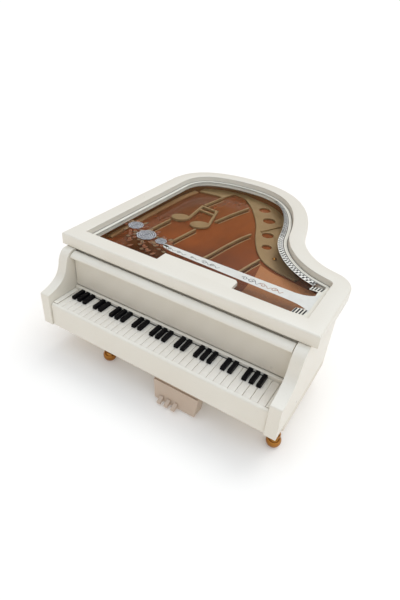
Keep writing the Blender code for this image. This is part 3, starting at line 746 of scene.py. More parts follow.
    @staticmethod
    def finish(
        obj: bpy.types.Object,
        finish: Finish,
        body: Body,
        replaces: Sequence[str] = (),
        slot: str = "",
        edge: float = 0.0,
        smooth: float = 35.0,
    ) -> bpy.types.Object:
        """Turn a drawing into metres, round it, dress it and make it ride.

        Args:
            obj: the piece, in millimetres.
            finish: its finish.
            body: the body that it rides on.
            replaces: the frame nodes that it stands for.
            slot: the record's material slot; not used.
            edge: rounding of its edges, in millimetres.
            smooth: faces meeting flatter than this, in degrees, shade as one.

        Returns:
            The piece.
        """
        shift = Matrix.Translation((0.0, FRONT_EDGE, -FLOOR))
        obj.data.transform(Matrix.Scale(MM, 4) @ shift)
        obj.data.shade_smooth()
        obj.data.set_sharp_from_angle(angle=math.radians(smooth))
        obj.data.materials.clear()
        obj.data.materials.append(finish.make())
        if edge:
            Workshop.soften(obj, edge * MM)
        if replaces:
            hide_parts(*replaces)
        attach(obj, body.value)
        log.info("%s rides on %s", obj.name, body.value)
        return obj

    @staticmethod
    def dress(node: str, finish: Finish, edge: float = 0.0, smooth: float = 35.0) -> None:
        """Give a frame node its finish and, if asked, rounded edges.

        Args:
            node: the frame node's name.
            finish: its finish.
            edge: rounding of its edges, in millimetres.
            smooth: faces meeting flatter than this, in degrees, shade as one.
        """
        obj = frame["nodes"][node]
        obj.data.materials.clear()
        obj.data.materials.append(finish.make())
        obj.data.shade_smooth()
        obj.data.set_sharp_from_angle(angle=math.radians(smooth))
        if edge:
            Workshop.soften(obj, edge * MM, 2)
        log.info("%s dressed in %s", node, finish.name)


def strip(path: Sequence[Any], width: float) -> list[Point]:
    """Outline of a bar of constant width along a path.

    Args:
        path: points along its middle.
        width: its width.

    Returns:
        The outline.
    """
    points = [Vector(point) for point in path]
    left, right = [], []
    for i, point in enumerate(points):
        along = (points[min(i + 1, len(points) - 1)] - points[max(i - 1, 0)]).normalized()
        side = Vector((-along.y, along.x)) * (width / 2)
        left.append(tuple(point + side))
        right.append(tuple(point - side))
    return left + right[::-1]


def smooth_path(knots: Sequence[Point], steps: int) -> list[Vector]:
    """Smooth curve through knots.

    Args:
        knots: the points that it passes.
        steps: points for each stretch.

    Returns:
        Points along the curve.
    """
    points = [Vector(knot) for knot in knots]
    padded = [2 * points[0] - points[1], *points, 2 * points[-1] - points[-2]]
    found = []
    for a, b, c, d in zip(padded, padded[1:], padded[2:], padded[3:]):
        for step in range(steps):
            t = step / steps
            spot = 2 * b + (c - a) * t + (2 * a - 5 * b + 4 * c - d) * t * t
            found.append((spot + (3 * b - a - 3 * c + d) * t**3) / 2)
    found.append(points[-1])
    return found


def ellipse(centre: Point, long: float, short: float, tilt: float, segments: int) -> list[Point]:
    """Outline of a tilted ellipse.

    Args:
        centre: its centre.
        long: its longer half width.
        short: its shorter half width.
        tilt: its turn in radians.
        segments: how many points.

    Returns:
        The outline.
    """
    points = []
    for step in range(segments):
        angle = math.tau * step / segments
        a, b = long * math.cos(angle), short * math.sin(angle)
        x = centre[0] + a * math.cos(tilt) - b * math.sin(tilt)
        points.append((x, centre[1] + a * math.sin(tilt) + b * math.cos(tilt)))
    return points


# ---------------------------------------------------------------- lid


@dataclass
class Lid:
    """Moulded lid frame with its window and hinges."""

    frame_width: float = 11.9
    ledge: float = 14.2
    edge_round: float = 1.4
    pane_gap: float = 0.3
    tab_x: Point = (-22.5, 33.4)
    tab_y: Point = (9.0, 22.9)

    def section(self) -> list[Point]:
        """The frame's cross-section as (inset, height) points.

        Returns:
            The section.
        """
        pane_bottom = edges("window_pane")[0].z
        top, width, bend = LID_TOP, self.frame_width, self.edge_round
        points = [(0.6, LID_BOTTOM), (0.18, LID_BOTTOM + 0.18), (0.0, LID_BOTTOM + 0.6)]
        for step in range(7):
            angle = math.pi / 2 * step / 6
            points.append((bend * (1 - math.cos(angle)), top - bend * (1 - math.sin(angle))))
        inner = 0.5
        for step in range(5):
            angle = math.pi / 2 * step / 4
            points.append((width - inner * (1 - math.sin(angle)), top - inner * (1 - math.cos(angle))))
        points += [(width, pane_bottom - self.pane_gap), (self.ledge, pane_bottom - self.pane_gap)]
        return points + [(self.ledge, LID_BOTTOM)]

    def build_frame(self) -> None:
        """Sweep the section round the outline and weld on the front tab."""
        mesh = bmesh.new()
        rings = []
        for inset, height in self.section():
            rings.append([mesh.verts.new((x, y, height)) for x, y in PLAN.inset(inset)])
        Workshop.bridge(mesh, rings, closed=True)
        lid = Workshop.from_mesh("lid_moulding", mesh)
        (left, right), (front, back) = self.tab_x, self.tab_y
        plan = [(left, front), (right, front), (right, back - 1.8), (right - 1.8, back), (left, back)]
        pane_top = edges("window_pane")[1].z
        Workshop.join(lid, Workshop.prism("tab", plan, pane_top + 0.4, LID_TOP - 1.1))
        Workshop.finish(lid, IVORY, Body.LID, ["lid_frame"], "ivory", edge=0.25)

    def build_pane(self) -> None:
        """Clear pane inside the frame."""
        low, high = edges("window_pane")
        outline = PLAN.inset(self.frame_width + self.pane_gap)
        pane = Workshop.prism("clear_window", outline, low.z, high.z)
        Workshop.finish(pane, PANE, Body.LID, ["window_pane"], "pane", edge=0.15)

    def build_hinges(self) -> None:
        """Dress the hinge leaves and pins."""
        for place in ("front", "rear"):
            Workshop.dress(f"lid_hinge_{place}_lid_leaf", BRASS)
            Workshop.dress(f"lid_hinge_{place}_case_leaf", BRASS)
            Workshop.dress(f"lid_hinge_{place}_pin", STEEL)

    def build(self) -> None:
        """Build the whole lid."""
        self.build_frame()
        self.build_pane()
        self.build_hinges()


@dataclass
class WindowPrint:
    """Screen print on the pane: border, dashes, banner, rosettes and leaves."""

    inset: float = 12.2
    thick: float = 0.04
    lift: float = 0.07
    band: float = 2.8
    side_panel: float = 2.5
    line_span: Point = (-4, 78)
    dash_span: Point = (8, 78)
    dash_pitch: float = 2.3
    bar_groups: tuple[tuple[float, float, float], ...] = ((71.8, 17.2, 5.6), (72.6, 46.8, 4.0))
    bar_width: float = 0.95
    rosette_leaves: int = 11
    drift_leaves: int = 24
    petal_rings: tuple[float, ...] = (0.84, 0.64, 0.44, 0.24)
    rosettes: tuple[tuple[float, float, float], ...] = (
        (-66.8, 47.2, 6.0),
        (-51.4, 39.8, 7.6),
        (-37.4, 38.6, 4.3),
    )
    flourishes: tuple[Point, ...] = (
        (-27, 1.3),
        (-19, 1.5),
        (-8, 1.1),
        (2, 2.0),
        (8, 1.7),
        (33, 2.0),
        (38, 2.6),
        (46, 2.0),
        (54, 2.2),
    )

    def level(self, number: int) -> tuple[float, float]:
        """Underside and top of a layer of ink."""
        low = edges("window_pane")[1].z + 0.02 + self.lift * number
        return low, low + self.thick

    def layer(self, name: str, outlines: Sequence[Sequence[Point]], ink: Ink, number: int) -> None:
        """Print outlines in one ink, on the numbered level."""
        parts = [Workshop.prism("print", outline, *self.level(number)) for outline in outlines]
        Workshop.finish(Workshop.gather(name, parts), ink, Body.LID)

    def border(self) -> None:
        """Pale border, with a grey line of painted shade along the pane's edge where the frame meets
        it, and a dark printed line inside.
        """
        inside = self.inset + self.band
        rings = (
            ("border_band", self.inset + 0.25, inside, BORDER_INK, 0),
            # Painted shade: a grey line along the gap between the pane and the frame.
            ("pane_edge_painted_shade", self.inset + 0.05, self.inset + 0.4, GREY_INK_AND_EDGE_SHADE, 1),
        )
        for name, outer, inner, ink, number in rings:
            hoop = Workshop.hoop(name, PLAN.inset(outer), PLAN.inset(inner), *self.level(number))
            Workshop.finish(hoop, ink, Body.LID)
        right = HALF_WIDTH - inside
        left = right - self.side_panel
        panel = [(left, 13), (right + 0.2, 13), (right + 0.2, 51), (left, 52)]
        # Behind each group of bars the panel bulges towards the bass.
        panel += [(right - 7.6, 50.6), (right - 8.4, 46.2), (left, 46.6)]
        panel += [(left, 24.4), (right - 7.8, 23.0), (right - 8.8, 16.4), (left, 16.4)]
        self.layer("border_side", [panel], BORDER_INK, 1)
        start, end = self.line_span
        line = []
        for inset in (inside, inside + 0.55):
            line.append([p for p in PLAN.inset(inset) if start < p[0] < end and p[1] > 50])
        self.layer("border_line", [line[0] + line[1][::-1]], BLACK_INK, 1)

    def dashes(self) -> None:
        """Two rows of dashes that grow towards the treble, on a veil of pale ink."""
        start, end = self.dash_span
        places = [(p, a) for p, a in PLAN.walk(self.dash_pitch) if start < p.x < end]
        rows, veil_out, veil_in = [], [], []
        for number, (point, along) in enumerate(places):
            grown = 1 - number / len(places)
            out = Vector((along.y, -along.x))
            half = 0.58 + 0.14 * grown
            rows += [
                self.dash(point, along, 15.9, 16.8 + 0.5 * grown, half),
                self.dash(point + along * 1.15, along, 16.9 + 0.6 * grown, 17.9 + 1.7 * grown, half),
            ]
            veil_out.append(tuple(point - out * 15.6))
            veil_in.append(tuple(point - out * (17.8 + 2.3 * grown)))
        self.layer("dash_rows", rows, BLACK_INK, 2)
        self.layer("dash_veil", [veil_out + veil_in[::-1]], VEIL_INK, 1)

    def dash(self, point: Vector, along: Vector, low: float, high: float, half: float) -> list[Point]:
        """One dash across the border.

        Args:
            point: where it stands on the lid's edge.
            along: the edge's direction.
            low: its outer inset.
            high: its inner inset.
            half: half its length along the edge.

        Returns:
            Its outline.
        """
        out = Vector((along.y, -along.x))
        ends = ((low, -half), (low, half), (high, half), (high, -half))
        return [tuple(point - out * inset + along * side) for inset, side in ends]

    def bars(self) -> None:
        """Slanted bars beside the banner's root."""
        shapes = []
        wide, lean = self.bar_width, 0.65
        for x, y, tall in self.bar_groups:
            for step in range(4):
                left, low = x + 2 * wide * step, y + 0.35 * step
                top, tip = low + tall, left + lean
                shapes.append([(left, low), (left + wide, low), (tip + wide, top), (tip, top)])
        self.layer("border_bars", shapes, BLACK_INK, 3)

    def banner(self) -> None:
        """White banner with flared ends and scroll flourishes."""
        right = HALF_WIDTH - self.inset - self.band
        upper = PLAN.curve((right, 46.0), (right - 0.6, 40.5), (73.0, 37.4), (66.0, 37.0), steps=3)
        lower = PLAN.curve((60.0, 27.6), (68.0, 27.2), (right - 2.5, 27.0), (right, 21.5), steps=3)
        shape = [tuple(point) for point, _ in upper] + [(66.0, 37.0), (-27.0, 38.0), (-34.6, 37.2)]
        shape += [(-31.5, 33.2), (-24.0, 31.4)] + [tuple(point) for point, _ in lower]
        shape.append((right, 21.5))
        self.layer("banner", [shape], BANNER_INK, 2)
        dark, warm = [], []
        for number, (x, size) in enumerate(self.flourishes):
            group = warm if x > 40 else dark
            middle = 33.9 - 0.025 * (x + 27)
            group.append(strip(self.curl((x, middle), size, number % 2), 0.42))
            group.append(strip(self.wave((x + 1.2, middle - 0.4), 4.8, 0.5 * size), 0.34))
        self.layer("dark_flourish", dark, GREY_INK_AND_EDGE_SHADE, 3)
        self.layer("warm_flourish", warm, RED_INK, 3)

    def curl(self, centre: Point, size: float, flip: int) -> list[Point]:
        """Spiral stroke.

        Args:
            centre: its centre.
            size: its radius.
            flip: 1 turns it the other way.

        Returns:
            Points along it.
        """
        found = []
        for step in range(19):
            angle = (1 - 2 * flip) * math.tau * 1.2 * step / 18 + math.pi * flip
            radius = size * (1 - 0.75 * step / 18)
            found.append((centre[0] + radius * math.cos(angle), centre[1] + radius * math.sin(angle)))
        return found

    def wave(self, start: Point, length: float, rise: float) -> list[Point]:
        """Wavy stroke.

        Args:
            start: where it starts.
            length: how long it is.
            rise: how far it swings.

        Returns:
            Points along it.
        """
        steps = 14
        found = []
        for step in range(steps + 1):
            swing = math.sin(math.tau * 1.25 * step / steps)
            found.append((start[0] + length * step / steps, start[1] + rise * swing))
        return found

    def leaf(self, root: Point, angle: float, length: float, width: float) -> list[Point]:
        """Pointed leaf.

        Args:
            root: where it springs from.
            angle: its direction in radians.
            length: its length.
            width: its width.

        Returns:
            Its outline.
        """
        steps = 6
        along = Vector((math.cos(angle), math.sin(angle)))
        side = Vector((-along.y, along.x))
        edge = []
        for step in range(steps + 1):
            share = step / steps
            edge.append((length * share, width / 2 * math.sin(math.pi * share) ** 0.8))
        points = [Vector(root) + along * a + side * b for a, b in edge]
        points += [Vector(root) + along * a - side * b for a, b in edge[-2:0:-1]]
        return [tuple(point) for point in points]

    def sprig(self, groups: LeafGroups, kind: str, root: Point, angle: float, size: Point) -> None:
        """Add one leaf with its dark outline and its vein.

        Args:
            groups: outlines by kind, which are added to.
            kind: the leaf's group.
            root: where it springs from.
            angle: its direction in radians.
            size: its length and width.
        """
        length, width = size
        groups[kind].append(self.leaf(root, angle, length, width))
        groups["line"].append(self.leaf(root, angle, length + 0.5, width + 0.7))
        tip = (root[0] + length * math.cos(angle), root[1] + length * math.sin(angle))
        groups["stem"].append(strip([root, tip], 0.3))

    def foliage(self) -> None:
        """Leaves that spring from the rosettes, and a drift of them in front."""
        groups: LeafGroups = {"olive": [], "red": [], "stem": [], "line": []}
        for cluster, (x, y, radius) in enumerate(self.rosettes):
            for number in range(self.rosette_leaves):
                angle = 2.4 * number + 0.7 * cluster
                reach = radius * (0.80 + 0.16 * (number % 3))
                root = (x + reach * math.cos(angle), y + reach * math.sin(angle))
                length = 3.8 + 0.9 * ((number * 5) % 4)
                self.sprig(groups, "olive" if number % 2 else "red", root, angle + 0.5, (length, 2.1))
        for number in range(self.drift_leaves):
            share = number / (self.drift_leaves - 1)
            root = (-63.0 + 37.0 * share, 31.0 - 9.5 * math.sin(2.6 * share) + 3.1 * (number % 4))
            length = 3.6 + 0.8 * (number % 3)
            self.sprig(groups, "red" if number % 3 else "olive", root, 2.1 * number, (length, 2.0))
        self.layer("leaf_outlines", groups["line"], LEAF_LINE_INK, 0)
        self.layer("red_leaves", groups["red"], RED_INK, 1)
        self.layer("olive_leaves", groups["olive"], OLIVE_INK, 2)
        self.layer("leaf_stems", groups["stem"], BLACK_INK, 3)

    def flowers(self) -> None:
        """Silver rosettes with rings of petals."""
        discs, petals, shades = [], [], []
        for x, y, radius in self.rosettes:
            edge = []
            for step in range(64):
                angle = math.tau * step / 64
                reach = radius * (0.94 + 0.06 * math.cos(9 * angle))
                edge.append((x + reach * math.cos(angle), y + reach * math.sin(angle)))
            discs.append(edge)
            for ring, share in enumerate(self.petal_rings):
                count = 8 - 2 * ring
                for petal in range(count):
                    start = math.tau * petal / count + 0.55 * ring
                    arc = []
                    for step in range(7):
                        angle = start + math.tau / count * 0.86 * step / 6
                        reach = radius * (share + 0.07 * math.sin(math.pi * step / 6))
                        arc.append((x + reach * math.cos(angle), y + reach * math.sin(angle)))
                    petals.append(strip(arc, 0.08 * radius))
                    shifted = [(a + 0.05 * (x - a), b - 0.07 * radius) for a, b in arc]
                    shades.append(strip(shifted, 0.09 * radius))
        self.layer("rosette_discs", discs, SILVER_INK, 4)
        self.layer("rosette_shades", shades, BLACK_INK, 5)
        self.layer("rosette_petals", petals, PALE_INK, 6)

    def build(self) -> None:
        """Print everything."""
        self.border()
        self.dashes()
        self.bars()
        self.banner()
        self.foliage()
        self.flowers()


# ---------------------------------------------------------------- case


@dataclass
class Case:
    """Case wall with both arms, bottom cover and its screws."""

    outer: float = 3.6
    lower_wall: float = 11.0
    arm_inner: float = 83.9
    well_back: float = 3.6
    ledge_z: float = 68.1
    arm_foot: float = 51.1
    notch_half: float = 10.5

    def arm_curve(self) -> list[Point]:
        """Side view of an arm's top, from under the lid to its front edge.

        Returns:
            Points (y, z).
        """
        top = PLAN.curve((-1.9, CASE_TOP), (-5.5, CASE_TOP), (-8.4, 72.0), (-9.2, 67.5), steps=5)
        sweep = PLAN.curve((-9.2, 67.5), (-10.8, 58.6), (-16.0, 54.2), (-28.0, 51.8), steps=7)
        points = [(point.x, point.y) for point, _ in top + sweep]
        return points + [(-28.0, 51.8), (ARM_FRONT, self.arm_foot)]

    def build_shell(self) -> None:
        """Cut the case wall from a block of the plan's shape."""
        above, below, ahead = CASE_TOP + 10, CASE_BOTTOM - 5, ARM_FRONT - 10
        shell = Workshop.prism(
            "case_shell", PLAN.inset(self.outer, ARM_FRONT), CASE_BOTTOM, CASE_TOP
        )
        waste = [(-1.9, above), (ahead, above), (ahead, self.arm_foot)] + self.arm_curve()[::-1]
        wide = HALF_WIDTH + 5
        Workshop.cut(
            shell,
            Workshop.prism("shaft", PLAN.inset(self.lower_wall, TRAY_WALL), below, above),
            Workshop.prism("tray", PLAN.inset(TRAY_WALL), self.ledge_z, above),
            Workshop.block(
                "well", (-self.arm_inner, self.arm_inner), (ahead, self.well_back), (below, above)
            ),
            Workshop.prism("arm_cut", waste, -wide, wide, Axis.X),
        )
        for place in ("front", "rear"):
            low, high = edges(f"lid_hinge_{place}_case_leaf")
            middle = (low.y + high.y) / 2
            span = (middle - self.notch_half, middle + self.notch_half)
            Workshop.cut(shell, Workshop.block("notch", (-HALF_WIDTH, -84.0), span, (75.5, above)))
        Workshop.finish(shell, IVORY, Body.CASE, ["case_rim"], "ivory", edge=0.45, smooth=30)

    def build_base(self) -> None:
        """Bottom cover, with a small step round its edge."""
        low, high = edges("base_plate")
        base = Workshop.prism("bottom_cover", PLAN.inset(self.outer, low.y), low.z, high.z)
        recess = PLAN.inset(self.lower_wall, low.y + 7)
        Workshop.cut(base, Workshop.prism("recess", recess, low.z + 2.5, high.z + 5))
        for number in range(1, 5):
            a, b = edges(f"base_screw_{number}")
            place = ((a.x + b.x) / 2, (a.y + b.y) / 2, 0)
            seat = [(0, low.z - 5), (2.4, low.z - 5), (2.4, low.z + 2), (0, low.z + 2)]
            Workshop.cut(base, Workshop.lathe("seat", seat, place, 24))
            self.build_screw(number, place, a.z)
        a, b = edges("winding_arbor")
        place = ((a.x + b.x) / 2, (a.y + b.y) / 2, 0)
        hole = [(0, low.z - 5), (2.6, low.z - 5), (2.6, high.z + 5), (0, high.z + 5)]
        Workshop.cut(base, Workshop.lathe("hole", hole, place, 32))
        for place_name in ("front_left", "front_right", "tail"):
            a, b = edges(f"foot_{place_name}")
            place = ((a.x + b.x) / 2, (a.y + b.y) / 2, 0)
            socket = [(0, low.z - 5), (1.8, low.z - 5), (1.8, low.z + 1.8), (0, low.z + 1.8)]
            Workshop.cut(base, Workshop.lathe("socket", socket, place, 24))
        Workshop.finish(base, IVORY_SHADE, Body.CASE, ["base_plate"], "ivory_shade", edge=0.4)

    def build_screw(self, number: int, place: Sequence[float], low: float) -> None:
        """Countersunk screw with a cross recess.

        Args:
            number: which base screw.
            place: the screw's axis.
            low: where its head starts.
        """
        name = f"base_screw_{number}"
        top = edges(name)[1].z
        profile = [(0, low), (1.7, low), (2.0, low + 0.3), (2.0, low + 1.5), (1.0, low + 1.5)]
        profile += [(1.0, top), (0, top)]
        screw = Workshop.lathe(f"cross_{name}", profile, place, 24)
        x, y = place[0], place[1]
        for long, short in ((1.2, 0.25), (0.25, 1.2)):
            spans = (x - long, x + long), (y - short, y + short), (low - 1, low + 0.8)
            Workshop.cut(screw, Workshop.block("slot", *spans))
        Workshop.finish(screw, STEEL, Body.CASE, [name], "steel")

    def build(self) -> None:
        """Build the whole case."""
        self.build_shell()
        self.build_base()


@dataclass
class Feet:
    """Turned ball feet."""

    ball: float = 4.9
    names: tuple[str, ...] = ("front_left", "front_right", "tail")

    def profile(self, top: float, seat: float) -> list[Point]:
        """Foot's turned outline.

        Args:
            top: the stud's end.
            seat: the flange's top.

        Returns:
            (radius, height) points.
        """
        points = [(0.0, FLOOR)]
        centre = FLOOR + 4.0
        for step in range(17):
            angle = math.radians(-54 + 106 * step / 16)
            height = max(FLOOR, centre + self.ball * math.sin(angle))
            points.append((self.ball * math.cos(angle), height))
        # From the ball upwards: the collar, the neck, and the flange under the bottom cover.
        points += [(2.5, 9.8), (2.6, 10.1), (3.4, 10.4), (3.7, 10.9), (3.7, 11.9), (3.3, 12.5)]
        points += [(2.5, 13.1), (2.2, 14.0), (2.1, 16.0), (2.3, 17.6), (3.0, 18.6), (4.1, 19.1)]
        return points + [(4.2, seat - 0.15), (4.1, seat), (1.5, seat), (1.5, top), (0, top)]

    def build(self) -> None:
        """Turn each foot."""
        seat = edges("base_plate")[0].z - 0.3
        for name in self.names:
            low, high = edges(f"foot_{name}")
            place = ((low.x + high.x) / 2, (low.y + high.y) / 2, 0)
            foot = Workshop.lathe(f"ball_foot_{name}", self.profile(high.z, seat), place)
            Workshop.finish(
                foot, BRIGHT_GOLD, Body.CASE, [f"foot_{name}"], "bright_gold", smooth=40
            )


@dataclass
class PedalBox:
    """Tan box under the keyboard with its pedals."""

    step_back: float = 1.2

    def build(self) -> None:
        """Build the box and the pedals."""
        low, high = edges("pedal_lyre")
        lower = [(4.0, low.z), (35.4, low.z), (37.3, 20.2), (3.0, 20.2)]
        upper = [(3.0, 19.6), (37.2, 19.6), (high.x, high.z), (low.x, high.z)]
        box = Workshop.prism("pedal_box", lower, low.y, high.y, Axis.Y)
        top = Workshop.prism("top", upper, low.y + self.step_back, high.y - 0.2, Axis.Y)
        Workshop.join(box, top)
        Workshop.finish(box, TAN, Body.CASE, ["pedal_lyre"], "tan", edge=0.4)
        for name in ("pedal_left", "pedal_middle", "pedal_right"):
            low, high = edges(name)
            side = [(high.y, low.z + 0.4), (low.y + 0.5, low.z), (low.y, low.z + 0.5)]
            side += [(low.y, low.z + 1.4), (low.y + 0.5, low.z + 2.1), (high.y, high.z)]
            pedal = Workshop.prism(f"moulded_{name}", side, low.x, high.x, Axis.X)
            Workshop.finish(pedal, TAN, Body.CASE, [name], "tan", edge=0.25)


# ---------------------------------------------------------------- keyboard


@dataclass
class Keyboard:
    """Keys, the boards round them and the folding fallboard."""

    keys: int = 33
    gap: float = 0.24
    key_round: float = 0.22
    sharps_after: tuple[int, ...] = (0, 1, 2, 4, 5)
    sharp_width: float = 3.15

    def white_row(self) -> None:
        """White keys side by side on one strip, each with rounded top edges."""
        low, high = edges("white_keys")
        pitch = (high.x - low.x) / self.keys
        parts = []
        for key in range(self.keys):
            x = low.x + pitch * key
            section = self.key_section(x + self.gap / 2, x + pitch - self.gap / 2, low.z + 1, high.z)
            parts.append(self.rounded_key(section, low.y, high.y))
        parts.append(
            Workshop.block("strip", (low.x, high.x), (low.y + 0.3, high.y), (low.z, high.z - 0.9))
        )
        row = Workshop.gather("white_key_row", parts)
        Workshop.finish(row, KEY_WHITE, Body.CASE, ["white_keys"], "white_key", smooth=50)

    def key_section(self, left: float, right: float, low: float, high: float) -> list[Point]:
        """A key's front view with rounded shoulders.

        Args:
            left: its left side.
            right: its right side.
            low: its underside.
            high: its top.

        Returns:
            (x, z) points.
        """
        r = self.key_round
        points = [(left, low), (right, low)]
        for step in range(4):
            angle = math.pi / 2 * step / 3
            points.append((right - r + r * math.cos(angle), high - r + r * math.sin(angle)))
        for step in range(4):
            angle = math.pi / 2 * (1 + step / 3)
            points.append((left + r + r * math.cos(angle), high - r + r * math.sin(angle)))
        return points

    def rounded_key(self, section: list[Point], front: float, back: float) -> bpy.types.Object:
        """A key whose front top edge is rounded too.

        Args:
            section: its front view.
            front: its front edge.
            back: its back edge.

        Returns:
            The key, in millimetres.
        """
        top = max(z for _, z in section)
        middle = (section[0][0] + section[1][0]) / 2
        mesh = bmesh.new()
        rings = []
        for step in range(4):
            angle = math.pi / 2 * step / 3
            drop = self.key_round * (1 - math.sin(angle))
            shrink = 1 - drop / 5
            y = front + self.key_round * (1 - math.cos(angle))
            ring = []
            for x, z in section:
                height = min(z, top - drop)
                ring.append(mesh.verts.new((middle + (x - middle) * shrink, y, height)))
            rings.append(ring)
        rings.append([mesh.verts.new((x, back, z)) for x, z in section])
        Workshop.bridge(mesh, rings, closed=False)
        return Workshop.from_mesh("key", mesh)

    def black_row(self) -> None:
        """Sharps with sloping fronts and rounded tops, on a strip along their backs."""
        low, high = edges("black_keys")
        white_low, white_high = edges("white_keys")
        pitch = (white_high.x - white_low.x) / self.keys
        parts = []
        for key in range(self.keys - 1):
            if key % 7 in self.sharps_after:
                middle = white_low.x + pitch * (key + 1)
                parts.append(self.sharp(middle, low.y, high.y, low.z, high.z))
        parts.append(
            Workshop.block(
                "strip", (low.x, high.x), (-3.8, white_high.y - 0.05), (low.z + 0.05, low.z + 0.4)
            )
        )
        row = Workshop.gather("black_key_row", parts)
        Workshop.finish(row, KEY_BLACK, Body.CASE, ["black_keys"], "black_key", smooth=25)

    def sharp(
        self, middle: float, front: float, back: float, low: float, high: float
    ) -> bpy.types.Object:
        """One sharp.

        Args:
            middle: its middle x.
            front: its front.
            back: its back.
            low: its underside.
            high: its top.

        Returns:
            The sharp, in millimetres.
        """
        wide, r = self.sharp_width / 2, 0.07
        section = [(-wide, low), (wide, low)]
        for step in range(5):
            angle = math.pi / 2 * step / 4
            section.append((wide - 0.25 - r + r * math.cos(angle), high - r + r * math.sin(angle)))
        section += [(-x, z) for x, z in section[:1:-1]]
        mesh = bmesh.new()
        rings = []
        for share, y in ((0.0, front), (0.92, front + 0.35), (0.99, front + 0.45), (1.0, front + 0.6)):
            ring = []
            for x, z in section:
                height = low + (z - low) * (0.15 + 0.85 * share)
                ring.append(mesh.verts.new((middle + x * (0.95 + 0.05 * share), y, height)))
            rings.append(ring)
        rings.append([mesh.verts.new((middle + x, back, z)) for x, z in section])
        Workshop.bridge(mesh, rings, closed=False)
        return Workshop.from_mesh("sharp", mesh)

    def boards(self) -> None:
        """Key slip, shelf, cheek blocks and the rail behind the keys."""
        low, high = edges("key_slip")
        r = 1.8
        side = [(high.y, low.z), (low.y, low.z)]
        for step in range(9):
            angle = math.pi - step * math.pi / 16
            side.append((low.y + r + r * math.cos(angle), high.z - r + r * math.sin(angle)))
        side.append((high.y, high.z))
        slip = Workshop.prism("key_slip_board", side, low.x, high.x, Axis.X)
        Workshop.finish(slip, IVORY, Body.CASE, ["key_slip"], "ivory", edge=0.2, smooth=30)
        Workshop.dress("key_bed", IVORY_SHADE)
        for name in ("key_block_bass", "key_block_treble"):
            Workshop.dress(name, IVORY, edge=0.25)
        Workshop.dress("back_rail", IVORY, edge=0.2)

    def fallboard(self) -> None:
        """Folding panel with a rounded nose and a pivot pin at each end."""
        low, high = edges("fallboard")
        half = edges("key_slip")[1].x - 0.3
        side = [(-1.4, 48.6), (-1.25, 48.15), (-0.8, 47.8), (-0.2, 47.7), (0.4, 47.8)]
        side += [(0.85, 48.15), (1.0, 48.6), (1.0, 74.4), (0.8, 75.0), (0.2, 75.3)]
        nose = PLAN.curve((-0.6, 75.4), (-3.0, 75.2), (-5.0, 74.0), (-5.3, 72.4), steps=5)
        side += [(point.x, point.y) for point, _ in nose]
        side += [(-5.3, 72.4), (-5.25, 72.0), (-4.95, 71.6), (-4.4, 71.3), (-2.4, 70.9)]
        side += [(-1.7, 70.6), (-1.4, 70.0)]
        panel = Workshop.prism("fallboard_panel", side, -half, half, Axis.X)
        axis = next(joint for joint in frame["joints"] if joint["name"] == "fallboard_hinge")
        y, z = axis["pos_m"][1] / MM - FRONT_EDGE, axis["pos_m"][2] / MM + FLOOR
        round_pin = [(y + a, z + b) for a, b in ellipse((0, 0), 0.8, 0.8, 0.0, 24)]
        Workshop.join(panel, Workshop.prism("pin", round_pin, low.x, high.x, Axis.X))
        Workshop.finish(panel, IVORY, Body.FALLBOARD, ["fallboard"], "ivory", edge=0.2, smooth=30)

    def build(self) -> None:
        """Build the keyboard."""
        self.white_row()
        self.black_row()
        self.boards()
        self.fallboard()


# ---------------------------------------------------------------- under the window


